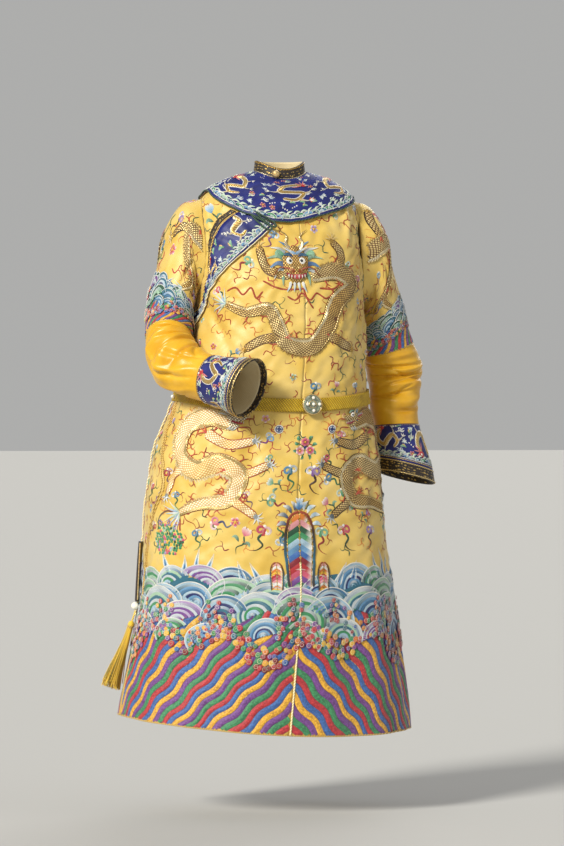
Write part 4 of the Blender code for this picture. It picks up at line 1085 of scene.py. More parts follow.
def scroll(pen, head, stem):  # a ruyi head of two coils on a wandering stem
    stalk = [(-0.2, 0.2), (-1.2, -1.6), (0.6, -3.4), (-0.8, -5.2), (-3.2, -6.0)]
    pen.tail(stalk, [0.85, 0.85, 0.595], stem)
    pen.line(coil((-1.1, 1.1), 1.7, 0.4, -70, 1.25), 0.85, head)
    pen.line(coil((1.2, 1.2), 1.6, 0.4, 250, -1.25), 0.85, head.split()[0] + " white")
    pen.dot((0, 2.6), 0.55, "white", high=0.3)


def bud(pen, petals, stem):
    pen.tail([(0, 0), (1.0, -2.2), (-0.4, -4.4), (0.6, -6.4)], 0.6, stem)
    for side in (-1, 1):
        sepal = [(0.6 * side, -2.4), (2.4 * side, -1.4), (3.2 * side, -2.2)]
        pen.line(sepal, 1.1, stem + " paleGreen", taper="leaf")
    for angle in (50, 90, 130):
        lean = math.cos(math.radians(angle))
        pen.line([(0, 0), (1.1 * lean, 1.4), (1.7 * lean, 2.9)], 1.5, petals, taper="petal")


def blossom(pen, petals, count=5, radius=2.2):
    for i in range(count):
        ray = polar(90 + 360 * i / count)
        petal = [ray * 0.35, ray * radius * 0.6, ray * radius]
        pen.line(petal, 1.5 * radius / 2.2, petals, taper="petal", step=0.7)
    pen.dot((0, 0), 0.55, "yellow", 0.1, 0.35)


def bouquet(pen):
    tips = table("x y", "-5.4 3.2; -6.6 -1.4; -3.8 6.6; 4.4 6.2; 6.8 1.8; 6.2 -3.6; -2.4 -6.2; 3 -6.4")
    for tip in np.stack([tips["x"], tips["y"]], -1):
        pen.line([(0, 0), (tip[0] * 0.5 + 0.6, tip[1] * 0.5), tip], 0.5, "darkGreen")
        pen.leaf(tip * 0.6, tip, 1.4, "darkGreen green paleGreen", bow=0.3)
    for place, petals in (
        ((0, 3.0), "crimson rose pink"), ((-2.6, -1.6), "red pink white"), ((2.8, -1.4), "crimson rose white")
    ):
        blossom(pen.near(place, up=0.25), petals, 6, 2.6)
    pen.dot((0.2, 0.4), 0.9, "navy", 0.25)


def flamingPearl(pen):
    for i in range(7):
        ray, side = polar(20 + 51 * i), polar(110 + 51 * i)
        pen.tail([ray * 2.4, ray * 3.8 + side * 0.8, ray * (5.4 + i % 2)], 0.8, "orange red")
    pen.dot((0, 0), 2.7, "navy", high=0.5)
    pen.line(arcPoints((0, 0), 2.6, 0, 360, 17), 0.6, "white", 0.1)
    for a in (45, 135, 225, 315):
        pen.line(arcPoints((0, 0), 1.5, a - 50, a + 30, 5), 0.7, "sky white", 0.5, 0.2)


def basket(pen, rng):
    pen.line([(-5, 2), (-4.4, 8), (0, 11), (4.4, 8), (5, 2)], 0.9, "darkGreen rust")
    tones = "green darkGreen paleGreen yellow lilac rose".split()
    for row in range(11):
        wide = 6.4 - abs(row - 4.5) * 0.55
        for x in np.arange(-wide, wide, 1.0):
            place = (x + rng.uniform(-0.25, 0.25), row * 1.25 - 8 + rng.uniform(-0.25, 0.25))
            tone = tones[int(rng.integers(6))]
            pen.dot(place, 0.74, tone if rng.random() > 0.5 else "green")
    for x in (-3.4, 0.4, 3.6):
        blossom(pen.near((x, 5.6), 0.8, 0.25), "purple lilac", 5, 2.0)


def rosette(work, centre, radius, floss, lift, ring="white"):
    work.dot(centre, radius, floss, lift, 0.35)
    curl = coil(centre, radius * 0.9, radius * 0.15, 40, 1.6, 11)
    work.line(curl, radius * 0.12, ring, lift + 0.28, 0.14, step=0.6)


def seaFan(work, centre, radius, bands, lift, lean=0.0, squash=1.0):  # a wave of nested arcs under a pale rim
    width = radius / (len(bands) + 0.4)
    first, last = 1 + lean, 179 + lean
    for i, floss in enumerate(bands):
        r = radius - (i + 0.5) * width
        shift = np.array([math.sin(math.radians(lean)) * (radius - r) * -0.6, 0])
        arc = arcPoints(centre + shift, r, first, last, max(5, int(r * 1.4)), squash)
        tones = f"{floss} silver {floss}" if i % 3 == 1 else floss
        work.line(arc, width, tones, lift, 0.2, "none", step=1.4)
    rim = arcPoints(centre, radius, first, last, max(5, int(radius * 1.4)), squash)
    wide = max(0.34, min(0.62, radius * 0.055))
    work.line(rim, wide, "silver white silver", lift + 0.14, 0.24, "none", step=1.4)


def spike(work, foot, tip, wide, floss, lift=0.02):
    foot, tip = np.array(foot, float), np.array(tip, float)
    side = unit(np.array([tip[1] - foot[1], foot[0] - tip[0]])) * wide / 2
    for share, tone in zip((1.0, 0.72, 0.45), ("white", *floss)):
        for way in (-1, 1):
            edge = [foot + side * share * way, tip - (tip - foot) * (1 - share) * 0.6]
            work.line(edge, wide * 0.2, tone, lift, taper="tail")
    work.line([foot, foot + (tip - foot) * 0.6], wide * 0.2, "navy", lift, taper="tail")


def peak(work, x, foot, wide, tall, bands, lift):  # a rock of chevrons inside an arch
    top = foot + tall
    pitch = wide * 0.235
    for i in range(int((tall - wide * 0.3) / pitch) + 1):
        high = top - wide * 0.14 - i * pitch
        near = max(0.0, min(1.0, (top - high) / (wide * 0.6)))
        half = wide / 2 * math.sin(math.acos(max(0.0, 1 - near)))
        drop = min(half * 0.62, high - foot - 0.2)
        if drop <= 0.3:
            continue
        shade = bands[i % len(bands)]
        for side, tones in ((-1, shade), (1, f"{shade} {shade} white")):
            run = [(x + side * 0.18, high), (x + side * half, high - drop)]
            work.line(run, pitch * 0.86, tones, lift, 0.25, "none", bend=False)
    for side in (-1, 1):
        arch = [(side * wide / 2, tall), (side * wide / 2, wide * 0.55), (side * wide * 0.42, wide * 0.28),
                (side * wide * 0.22, wide * 0.07), (0, 0)]
        arch = np.array([x, top]) + np.array(arch) * [1, -1]
        work.line(arch, wide * 0.07 + 0.4, "bark teal bark rust", lift + 0.25, 0.3)
        work.line(arch[:-1] - [side * wide * 0.09, 0.0], 0.35, "gold", lift + 0.3, 0.2, thread="gold")
    work.line([(x, foot), (x, top - wide * 0.1)], 0.4, "gold", lift + 0.3, 0.2, thread="gold")


def claw(pen, reach, pale):  # a foot of five talons, reaching to a side
    for angle in (-70, -30, 5, 40, 80):
        tip = polar(angle + reach, 4.6)
        hook = polar(angle + reach + 90, 1.0 if angle < 5 else -1.0)
        pen.tail([(0, 0), tip * 0.55 + hook * 0.5, tip], [1.25, 0.8], pale)
    pen.dot((0, 0), 1.5, pale.split()[0], thread="gold")


def head(pen, mane, gold):  # a dragon's head seen from the side, facing +x
    locks = ((100, 7), (122, 8.6), (143, 9.6), (163, 10), (184, 9.6), (206, 8.6), (228, 7.2))
    for i, (angle, long) in enumerate(locks):
        ray, bow = polar(angle), polar(angle + 90, 1.6 if i % 2 else -1.4)
        pen.tail([ray * 1.6, ray * long * 0.55 + bow, ray * long], [1.7, 1.2], mane[i % len(mane)])
    for bow in (0.0, 1.8):
        horn = [(-0.4, 2.4), (-2.4 - bow, 5.4), (-6.2 - bow, 6.4), (-8.6 - bow, 8.6)]
        pen.tail(horn, [1.0, 0.8], "cream " + gold, 0.25, thread="gold")
    skull, jaw = [(-2.6, -0.6), (0.6, 0.6), (3.4, 0.8), (6.4, 1.6)], [(-1.4, -2.6), (1.6, -3.4), (4.4, -3.6)]
    pen.line(skull, [5.4, 4.8, 3.0, 2.4], gold, 0.25, 0.7, columns=7, thread="scales")
    pen.line(jaw, [2.0, 1.7, 1.3], gold, 0.25, 0.4, columns=5, thread="scales")
    pen.line([(-0.6, -1.5), (2.2, -2.0), (5.6, -1.6)], 1.1, "crimson red", 0.4, 0.3)
    for x in (1.6, 3.0, 4.4, 5.6):
        pen.tail([(x, -0.7), (x + 0.2, -1.9)], 0.6, "white", 0.7, 0.2)
    pen.line([(5.2, 3.0), (6.6, 3.6), (7.6, 2.4), (6.6, 1.4)], 1.0, "rust brightGold", 0.5, 0.4)
    pen.line([(-0.8, 3.4), (1.0, 4.0), (3.2, 3.2)], [0.9, 1.2], "darkGreen paleGreen", 0.6, 0.3, "leaf")
    pen.dot((1.2, 1.9), 1.15, "white", 0.8)
    pen.dot((1.35, 1.85), 0.55, "black", 1.05, 0.3)
    for x, y in ((6.2, 0.6), (4.6, -4.0)):
        whisker = [(x, y), (9.4, y + 1.0), (11.8, y - 1.6), (14.6, y + 0.4)]
        pen.tail(whisker, [0.8, 0.5], "rust brown", 0.25)
    for x in (0.4, 1.8, 3.2):
        pen.tail([(x, -4.0), (x - 0.8, -5.6), (x - 2.2, -6.6)], 0.8, "white sky", 0.2)


def frontHead(pen, mane, gold):  # a dragon's head seen from the front
    for side in (-1, 1):
        mirror = np.array([side, 1])
        for i, (angle, long) in enumerate(((62, 14), (40, 15), (18, 14.5), (-4, 14), (-26, 13), (-50, 12))):
            ray, bow = polar(angle) * mirror, polar(angle + 90) * mirror
            lock = [ray * 4, ray * long * 0.6 + bow * 1.6, ray * long - bow * 1.2]
            pen.tail(lock, [3.0, 2.0], mane[i % len(mane)])
        horn, ear = [(2.4, 7.0), (4.2, 11.0), (3.4, 14.0), (7.4, 17.4)], [(5.0, 4.4), (8.6, 6.2), (9.6, 3.6)]
        pen.tail(horn * mirror, [1.8, 1.3], "paleGold gold", 0.3, 0.5, thread="gold")
        pen.line(ear * mirror, 2.2, "green paleGreen", 0.3, taper="leaf")
    face = [(0, 9.5), (0, 4.0), (0, -3.5), (0, -8.5)]
    pen.line(face, [7.0, 13.0, 12.0, 7.5], gold, 0.3, 1.0, columns=9, thread="scales")
    for side in (-1, 1):
        mirror = np.array([side, 1])
        brow, lid = [(0, 5.0), (3.0, 6.8), (6.4, 8.8)], [(0.8, 3.2), (3.2, 5.0), (6.2, 4.6)]
        pen.tail(brow * mirror, [1.6, 1.3], "sky white", 1.1, 0.3)
        pen.line(lid * mirror, [1.2, 1.7], "navy teal", 1.15, 0.3, "leaf")
        pen.dot((side * 3.0, 2.0), 1.75, "white", 1.1)
        pen.dot((side * 2.8, 1.9), 0.8, "black", 1.45, 0.3)
        nostril = [(0.6, -1.0), (2.4, -1.6), (2.6, -3.2), (0.8, -3.4)]
        whisker = [(1.0, -2.6), (8.0, -1.4), (11.6, -5.0), (16.0, -3.6)]
        pen.line(nostril * mirror, 1.4, "brightGold rust", 1.2, 0.5, thread="gold")
        pen.tail(whisker * mirror, [0.9, 0.6], "rust brown", 1.2)
        for x, y in ((1.0, -5.0), (2.6, -4.9), (4.0, -4.6)):
            pen.tail([(side * x, y), (side * x * 1.02, y - 1.7)], 0.8, "white", 1.5, 0.25)
    mouth = [(-5.2, -4.0), (-2.6, -5.4), (0, -5.7), (2.6, -5.4), (5.2, -4.0)]
    pen.line(mouth, [1.2, 2.2, 1.2], "crimson red crimson", 1.15, 0.3)
    for x in (-3.0, -1.0, 1.0, 3.0):
        pen.tail([(x, -8.0), (x * 1.2, -10.6), (x * 1.7, -13.0)], 1.5, "white paleBlue", 0.3)


def snake(pen, points, wide, look, spineSide):  # a dragon's long body with its spines, flames and tail
    work, lift, wide = pen.work, pen.lift, wide * pen.size
    path = pen.at(points)
    gaps = arcAlong(path)
    at = np.linspace(0, gaps[-1], int(gaps[-1]) + 2)
    line = spline(gaps, path, at)
    thick = wide * np.interp(at / at[-1], [0, 0.12, 0.6, 0.85, 1.0], [0.72, 1.0, 0.95, 0.6, 0.3])
    heading = unit(np.gradient(line, axis=0))
    side = np.stack([-heading[:, 1], heading[:, 0]], -1) * spineSide
    work.line(line, thick + look["rim"], look["outline"], lift - 0.2, 0.3)
    work.line(line, thick, look["body"], lift, look["raised"], columns=9, thread=look["thread"], step=1.2)
    belly = line - side * (thick * 0.36)[:, None]
    work.line(belly, thick * 0.2, look["belly"], lift + 0.25, 0.25, thread="gold")
    for i in range(3, len(line) - 3):
        root = line[i] + side[i] * thick[i] * 0.48
        tip = root + (side[i] * 0.2 + heading[i] * 0.14) * thick[i] * (1.2 if i % 3 else 0.8)
        spine = [root - side[i] * 0.3, tip]
        work.line(spine, thick[i] * 0.12, look["spines"], lift + 0.1, 0.25, "tail", step=0.8)
    for i in range(7, len(line) - 9, 8):  # flames that lick away from the body
        out = side[i] * (1 if (i // 8) % 2 else -1)
        root = line[i] + out * thick[i] * 0.5
        curl = [root, root + out * 2.4 + heading[i] * 1.4, root + out * 4.4 - heading[i] * 0.4,
                root + out * 3.0 - heading[i] * 2.4]
        work.line(curl, 0.9, look["flames"] if i % 3 else "rust", lift, 0.25, "tail")
        work.line([curl[1], curl[1] + out * 2.2 + heading[i] * 2.4], 0.8, "rust", lift, 0.25, "tail")
    for edge in (1, -1):
        rim = line + side * (thick * 0.5 * edge)[:, None]
        work.line(rim, 0.55, look["edge"], lift + 0.25, 0.3, thread="gold")
    end, away = line[-1], heading[-1]
    for i, angle in enumerate((-64, -40, -18, 4, 26, 48, 68)):
        ray = polar(angle, 1.0, away)
        lock = [end - away, end + ray * wide * 0.5, end + ray * wide * (0.95 + 0.25 * (i % 2))]
        work.line(lock, [wide * 0.16, wide * 0.1], look["tuft"][i % 3], lift + 0.1, taper="tail")


def limb(pen, points, wide, look, reach, foot):
    work, lift, wide = pen.work, pen.lift, wide * pen.size
    points = pen.at(points)
    work.line(points, [wide + 1.0, wide * 0.7 + 1.0], look["outline"], lift - 0.15, 0.3)
    work.line(points, [wide, wide * 0.65], look["body"], lift + 0.05, look["raised"] * 0.7,
              thread=look["thread"], columns=7)
    claw(Pen(work, *points[-1], foot * pen.size, lift=lift + 0.25), reach, look["claws"])
    root = points[0]
    for angle in (-35, 0, 35):
        ray = polar(angle, 1.0, unit(root - points[1]))
        flame = [root - ray, root + ray * wide * 0.5 + [0.6, 0.4], root + ray * wide * 1.1]
        work.line(flame, wide * 0.22, look["flames"], lift + 0.3, taper="tail")


poses = {  # each limb: its places, its width, and the way its claw reaches
    "ring": {  # curled about its own middle, head at the top
        "path": [(4, 12), (24, 14), (32, 8), (20, -3), (14, -17), (3, -29), (-12, -26), (-17, -15), (-21, -8),
                 (-36, -9), (-48, -4)],
        "limbs": [([(20, 15), (25, 24), (19, 33)], 5.4, 90), ([(-8, 12), (-22, 16), (-26, 29)], 5.4, 100),
                  ([(14, -22), (25, -27), (34, -30)], 5.6, -20),
                  ([(-12, -24), (-25, -25), (-36, -31)], 5.4, 190)],
        "wide": 9.6, "spines": 1, "foot": 1.05,
        "face": frontHead, "headAt": (-5, 18), "headSize": 1.2, "nod": 0,
    },
    "walking": {  # an S down the skirt, head at the top
        "path": [(12, 27), (-2, 31), (-18, 25), (-22, 10), (-10, 0), (6, 4), (17, -3), (11, -17), (-6, -20),
                 (-20, -25)],
        "limbs": [([(-4, 22), (10, 15), (25, 17)], 6.0, 5), ([(8, 0), (20, -2), (34, 3)], 5.6, 10),
                  ([(-16, 4), (-26, -4), (-30, -15)], 5.4, -100),
                  ([(8, -14), (20, -22), (27, -27)], 5.4, -45)],
        "wide": 11.0, "spines": -1, "foot": 1.05,
        "face": head, "headAt": (12, 31), "headSize": 1.2, "nod": -14,
    },
    "long": {  # stretched along a sleeve
        "path": [(8, 24), (-4, 22), (-10, 12), (0, 4), (9, -3), (2, -13), (-9, -18), (-3, -28)],
        "limbs": [([(-8, 14), (-15, 18), (-19, 25)], 3.8, 110), ([(6, -4), (15, -6), (20, -13)], 3.8, -40),
                  ([(4, 4), (13, 8), (20, 8)], 3.8, 10), ([(-6, -16), (-14, -14), (-20, -18)], 3.8, 190)],
        "wide": 7.2, "spines": 1, "foot": 0.75,
        "face": head, "headAt": (9, 25), "headSize": 0.85, "nod": 10,
    },
}


def dragon(work, kind, look, x, y, mirror=1, size=1.0, headAt=None):
    pose, pen = poses[kind], Pen(work, x, y, size, 0, mirror, lift=0.25)
    snake(pen, pose["path"], pose["wide"], look, pose["spines"] * mirror)
    for points, wide, reach in pose["limbs"]:
        limb(pen, points, wide, look, reach if mirror > 0 else 180 - reach, pose["foot"])
    spot = pen.at(headAt or pose["headAt"])
    face = Pen(work, *spot, pose["headSize"] * size, pose["nod"] * mirror, mirror, lift=0.5)
    pose["face"](face, look["mane"], look["gold"])


# The robe's own pattern, in millimetres from the middle seam and up from the hem.
chestLook = {
    "outline": "brown", "body": "brightGold gold brightGold gold", "thread": "scales", "rim": 1.3,
    "raised": 0.6, "belly": "cream", "spines": "brown gold", "edge": "brightGold",
    "tuft": ["paleGreen white", "sky white", "white paleBlue"], "claws": "gold brightGold",
    "flames": "red orange", "mane": ["navy sky", "teal white", "darkGreen paleGreen"], "gold": "gold",
}
paleLook = {
    **chestLook, "body": "cream paleGold brightGold paleGold cream", "thread": "paleScales", "rim": 1.2,
    "outline": "rust", "belly": "brightGold", "spines": "gold paleGold", "claws": "silver white",
    "mane": ["gold brightGold", "white paleBlue", "rust orange"], "gold": "paleGold",
}
netLook = {
    **chestLook, "body": "gold brightGold gold", "claws": "grey white", "outline": "bark",
    "mane": ["crimson red", "grey silver", "teal paleBlue"], "gold": "brightGold",
}
sleeveLook = {**netLook, "rim": 0.8, "raised": 0.45, "claws": "gold paleGold"}
stripes = {
    "top": 68.0, "wide": 5.3, "narrow": 4.1, "steepIn": 45.0, "steepOut": 60.0, "wave": 21.0, "sway": 0.95,
    "cover": 0.94, "edge": 0.12, "order": ["yellow", "purple", "green", "red", "blue"],
}


def seaStripes(work, reach, shift):  # slanting bands that meet in a chevron at the middle
    look, top = stripes, stripes["top"]
    u, lines = -top * 1.25, []
    while u < reach:
        lines.append(u)
        u += look["wide"] + (look["narrow"] - look["wide"]) * min(1, max(0, u / 80))
    y = np.linspace(top, -2.0, int(top / 2.2))
    share = (top - y) / top
    outward = np.clip((np.array(lines) + 20) / 110, 0, 1)
    steep = np.radians(look["steepIn"] + (look["steepOut"] - look["steepIn"]) * outward)
    xs = [u + top / math.tan(s) * share for u, s in zip(lines, steep)]
    for side in (-1, 1):
        for k, (x, s) in enumerate(zip(xs[:-1], steep)):
            gap = (xs[k + 1] - x) * math.sin(s)
            sway = look["sway"] * np.sin(2 * math.pi * (x - y) / math.sqrt(2) / look["wave"] + 0.6)
            path = np.stack([(x + gap / 2 + sway * math.sin(s)), y + sway * math.cos(s)], -1)
            inside = path[:, 0] > -1.2
            if inside.sum() < 3:
                continue
            path, gap = path[inside] * [side, 1], gap[inside]
            tone = look["order"][(shift - k) % 5]
            work.line(path, gap * 1.02, "stripeGap", -0.06, 0.0, "none", columns=2, step=2.0)
            work.line(path, gap * look["cover"], tone, 0.0, 0.42, "none", "knots", columns=5, step=1.3)
            for strip in work.strips[-2:]:  # each half stops at the middle
                strip[0][..., 0] = side * np.maximum(side * strip[0][..., 0], look["edge"])


seaBands = [bands.split() for bands in """
    paleBlue teal sky steel paleBlue navy sky steel paleBlue
    paleGreen darkGreen green paleGreen darkGreen green paleGreen teal
    silver steel paleGreen teal silver green paleBlue steel
    lilac purple silver purple lilac purple silver purple lilac
    steel teal paleBlue navy steel teal navy paleBlue
""".strip().split("\n")]
bandOrder = (0, 1, 2, 3, 4, 2, 1, 0)
seaRows = table("centre radius pitch lift offset", """
    81 13.5 18.5 0 4; 73 14.5 21 0.25 -6; 63.5 15 22.5 0.5 6; 54 12.5 26 0.75 -9
""")
rosetteTones = "red yellow blue green purple crimson red orange teal".split()


def seaBorder(work, reach, rng, foot=0.0, scale=1.0):
    small = max(scale, 0.6)
    rings = ("white", "cream", "paleGreen", "pink")
    count = 0
    for y, tone in ((83.0, "teal"), (75.0, "paleBlue"), (67.0, "teal"), (60.0, "steel")):  # behind the waves
        level = y * scale + foot
        under = [(x, level + 1.5 * scale * math.sin(x / 3.0)) for x in np.arange(-reach, reach, 4.0)]
        work.line(under, 9.5 * scale, tone, -0.05, 0.1, "none", columns=4, step=2.0)
    for row in rowsOf(seaRows):
        for i, x in enumerate(np.arange(-reach + row["offset"] * scale, reach, row["pitch"] * scale)):
            x = x + rng.uniform(-4.0, 4.0) * scale
            y = (row["centre"] + rng.uniform(-3.6, 3.0)) * scale + foot
            radius = row["radius"] * rng.uniform(0.85, 1.25) * scale
            bands = seaBands[bandOrder[count % 8]]
            lean = rng.choice([-1, 1]) * rng.uniform(10, 40)
            if scale < 1.0:  # a small border isn't crowded
                bands = bands[1:5]
            seaFan(work, (x, y), radius, bands, row["lift"] + 0.06 * (i % 4), lean, rng.uniform(0.74, 1.0))
            count += 1
    step = 2.7 * small
    for x in np.arange(-reach, reach, step):
        edge = (50.0 + 6.5 * math.sin(x / 7.5 + 0.8) + 4.5 * math.sin(x / 17.0 - 0.9)) * scale + foot
        for level in range(4):
            aside = rng.uniform(-0.5, 0.5) * step
            up = (level * 3.4 - 4.0 + rng.uniform(-1.2, 1.2)) * scale
            if rng.random() < 0.85:
                tone = rosetteTones[int(rng.integers(9))]
                radius = rng.uniform(1.4, 2.0) * small
                rosette(work, (x + aside, edge + up), radius, tone, 0.9, rings[int(rng.integers(4))])
    for i in range(int(reach * 0.36 * scale)):  # small bunches of them thrown up among the waves
        x, y = rng.uniform(-reach, reach), rng.uniform(57, 70)
        for k in range(5):
            spot = (x + rng.uniform(-2.5, 2.5) * scale, (y + 2.7 * k - 5) * scale + foot)
            radius = rng.uniform(1.2, 1.7) * small
            rosette(work, spot, radius, rosetteTones[int(rng.integers(9))], 1.15)


def mountains(work, x):
    lift = 0.3
    tones = ("orange pink darkGreen green paleBlue sky blue crimson red rose purple lilac yellow "
             "paleGreen orange")
    peak(work, x, 82, 15.2, 43, tones.split(), lift)
    grasses = table("x0 y0 x1 y1", "3 1.5 5 7; 4.8 0 10 4.4; 6.4 -3 13 -1; 7.4 -6.5 13.6 -7; 1.2 3 2.2 9")
    for side, tones in ((-1, "navy grey white"), (1, "white paleBlue white")):
        peak(work, x + side * 14.4, 80, 6.6, 16, "pink white orange yellow red rose".split(), lift)
        pen = Pen(work, x, 124, 1.0, 0, side, lift=lift)
        for i, row in enumerate(rowsOf(grasses)):
            pen.leaf((row["x0"], row["y0"]), (row["x1"], row["y1"]), 2.3, tones, 0.1 + 0.02 * i)
    for tip in ((-2.6, 4.0), (0.0, 7.2), (2.6, 4.4)):
        Pen(work, x, 126, lift=lift).leaf((0, 0), tip, 2.2, "blue sky white", 0.3, 0.05)
    spikes = table("x0 y0 x1 y1 wide", """
        57 86 50 101 5; 63 87 59 104 4.6; 69 88 68 100 4.4; 80 88 86 103 5.2; 24 84 30 96 4.4; 34 86 37 97 4
    """)
    for side in (-1, 1):
        for row in rowsOf(spikes):
            tip = (x + side * row["x1"], row["y1"])
            spike(work, (x + side * row["x0"], row["y0"]), tip, row["wide"], ("paleBlue", "sky"))


scrollTones = [
    ("red rose", "darkGreen bark"), ("purple lilac", "bark brown"), ("rose pink", "navy grey"),
    ("green paleGreen", "crimson rust"), ("sky paleBlue", "purple crimson"), ("crimson red", "bark purple"),
    ("teal sky", "darkGreen green"),
]
# Motifs with a set place. Kind 0 is a scroll, 1 a bud, 2 a blossom and 3 a thin rust line.
frontScrolls = rowsOf(table("x y kind tone size angle mirror", """
    -71 180 2 2 1.1 0 1; -84 146 0 5 1.1 20 1; -47 118 0 2 1.2 80 -1; -37 119 2 0 1.1 40 1
    -32 111 1 2 1.4 -30 1; -21 112 0 0 1.4 -14 1; -10.5 110 0 6 1.2 190 1; -5 147 0 6 1.3 10 1
    8.5 146 0 1 1.4 -6 -1; 20 143 0 6 1.1 70 -1; -15 141 1 3 1.1 60 1; -14 131 0 3 1.2 70 1
    29 134 0 3 1.2 20 -1; 19 129 1 2 1.2 50 1; 14 111 0 3 1.3 -10 -1; 30 112 0 0 1.4 10 -1
    51 112 0 1 1.2 0 1; 8 197 0 6 1.1 0 1; -52 300 1 4 1.6 20 1; -34 270 0 3 1.2 -60 1; 40 249 2 4 0.8 0 1
"""))
motifSize = 1.3


def smallMotif(pen, kind, tone):
    tones, stem = scrollTones[int(tone)]
    if kind == 0:
        scroll(pen, tones, stem)
    elif kind == 1:
        bud(pen, tones + " white", "darkGreen")
    elif kind == 2:
        blossom(pen, tones + " white")
    else:
        curl = [(-6, 2), (-3, 3.4), (-1, 1.0), (-3.4, -0.6), (0, -1.6), (4, -0.4), (7, -2.4), (5.4, -4)]
        pen.tail(curl, 0.7, "rust")


def scatterFill(work, rng, busy, taken, reach, low, high=312):  # small motifs where the ground is still bare
    spots = list(taken)
    for i in range(700):
        x, y = rng.uniform(-reach, reach), rng.uniform(low, high)
        if any(math.hypot((x - a) / wide, (y - b) / tall) < 1 for a, b, wide, tall in busy):
            continue
        if any(math.hypot(x - a, y - b) < 10.5 for a, b in spots):
            continue
        spots.append((x, y))
        size, angle = rng.uniform(0.75, 1.05) * motifSize, rng.uniform(-60, 60)
        smallMotif(Pen(work, x, y, size, angle, 1 if i % 2 else -1), (0, 3, 1, 0, 2)[i % 5], i % 7)


def tendrils(work, rng, reach, low, high=306):  # red and green curls that run in under everything else
    tones = "rust crimson rust red darkGreen orange".split()
    for y in np.arange(low, high, 11.0):
        for x in np.arange(-reach, reach, 12.0):
            spot = (x + rng.uniform(-4, 4), y + rng.uniform(-4, 4))
            at = Pen(work, *spot, rng.uniform(0.7, 1.1), rng.uniform(0, 360), rng.choice([-1, 1])).at
            tone = tones[int(rng.integers(6))]
            curl = at([(-4, 0), (-1.5, 1.8), (0.5, 0), (3, 1.2), (4.2, 3.4), (2.4, 4.2)])
            work.line(curl, 0.75, tone, -0.04, 0.3, "tail")
            work.line(at([(0.5, 0), (1.2, -2.2), (3.4, -2.6)]), 0.65, tone, -0.04, 0.3, "tail")


def windLines(work, x, y):  # thin couched scrolls under the head
    for points in (
        [(-48, -4), (-42, -2), (-38, -6), (-33, -2), (-30, -8), (-26, -4)],
        [(-26, 2), (-18, -2), (-8, -3), (0, -2)],
        [(-12, -7), (-7, -9), (-3, -5), (2, -9), (6, -5), (12, -8), (17, -4), (13, -1)],
        [(-2, -2), (1, -10), (4, -14)], [(26, 2), (31, 5), (28, 9), (34, 12)], [(8, -2), (18, -2), (24, 3)],
    ):
        work.line(np.add(points, (x, y)), 1.05, "rust", 0.0, 0.35)


margin = {"seam": 0.7, "edge": 0.4}  # degrees off a side seam, millimetres off the belt and the cape


def inside(u, v, low, high):  # between the panels' side edges, off the belt and the cape
    onBelt = np.abs(v - runAt(beltMiddle(u))) < belt["width"] / 2 + margin["edge"]
    clear = (v < capeEdgeRun(u) - margin["edge"]) & ~onBelt
    return (u > low + margin["seam"]) & (u < high - margin["seam"]) & clear


def keepFront(flat, u, v):
    height, away = heightAt(v), -u
    lower = np.interp(away, -overlapLine["lowerAngle"], overlapLine["lowerHeight"])
    upper = np.interp(away, -overlapLine["upperAngle"], overlapLine["upperHeight"])
    banded = (away > 96) & (height > lower - 0.7) & (height < upper + 0.9)
    return inside(u, v, sideAngle(v, -1, -1) - 360, sideAngle(v, 1, -1)) & ~banded


def keepBack(flat, u, v):
    return inside(u, v, sideAngle(v, 1, 1), sideAngle(v, -1, 1))


def embroiderBody(floss):
    runs = np.linspace(0, neckRun, 150)
    front = (Ground(body, runs, runs, frontAngle(runs), 130), floss, keepFront)
    back = (Ground(body, runs, runs, np.full(150, form["back"]), 130), floss, keepBack)
    rng = np.random.default_rng(11)
    for name, ground, shift in (("front", front, 2), ("back", back, 4)):
        work = Needlework()
        seaStripes(work, 125, shift)
        work.sew(name + "_hem_stripes", *ground)
    for name, ground, middle in (("front", front, 0.6), ("back", back, 0.0)):
        work = Needlework()
        seaBorder(work, 118, rng)
        mountains(work, middle)
        work.sew(name + "_waves", *ground)
    say("waves and stripes")

    work = Needlework()
    windLines(work, 1, 258)
    dragon(work, "ring", chestLook, 0, 251)
    dragon(work, "walking", paleLook, -52, 149)
    dragon(work, "walking", netLook, 48, 149, -1)
    for x in (-13, 20):
        flamingPearl(Pen(work, x, 173, 0.95))
    bouquet(Pen(work, 3, 162, 1.1))
    basket(Pen(work, -80, 111, 1.3, widen=1.5), rng)
    basket(Pen(work, 96, 112, 0.9), rng)
    for row in frontScrolls:
        pen = Pen(work, row["x"], row["y"], row["size"] * motifSize, row["angle"], row["mirror"])
        smallMotif(pen, row["kind"], row["tone"])
    # ellipses that are full: middle, then half width and height
    shared = [(50, 152, 27, 29), (0, 112, 12, 34)]
    busy = [(-4, 250, 40, 36), (-52, 152, 27, 29), *shared, (-82, 111, 13, 14), (4, 166, 20, 12)]
    scatterFill(work, rng, busy, [(row["x"], row["y"]) for row in frontScrolls], 118, 106)
    tendrils(work, rng, 116, 106)
    work.sew("front_embroidery", *front)

    work = Needlework()
    windLines(work, 0, 262)
    dragon(work, "ring", chestLook, 0, 254, -1, 1.15, (-5 / 1.15, 18 / 1.15))
    dragon(work, "walking", netLook, -50, 149)
    dragon(work, "walking", paleLook, 50, 149, -1)
    flamingPearl(Pen(work, 0, 176, 1.1))
    bouquet(Pen(work, 0, 158, 1.1))
    scatterFill(work, rng, [(0, 254, 46, 42), (-50, 152, 27, 29), *shared, (0, 166, 14, 20)], [], 118, 106)
    tendrils(work, rng, 116, 106)
    work.sew("back_embroidery", *back)
    say("dragons, clouds and flowers")


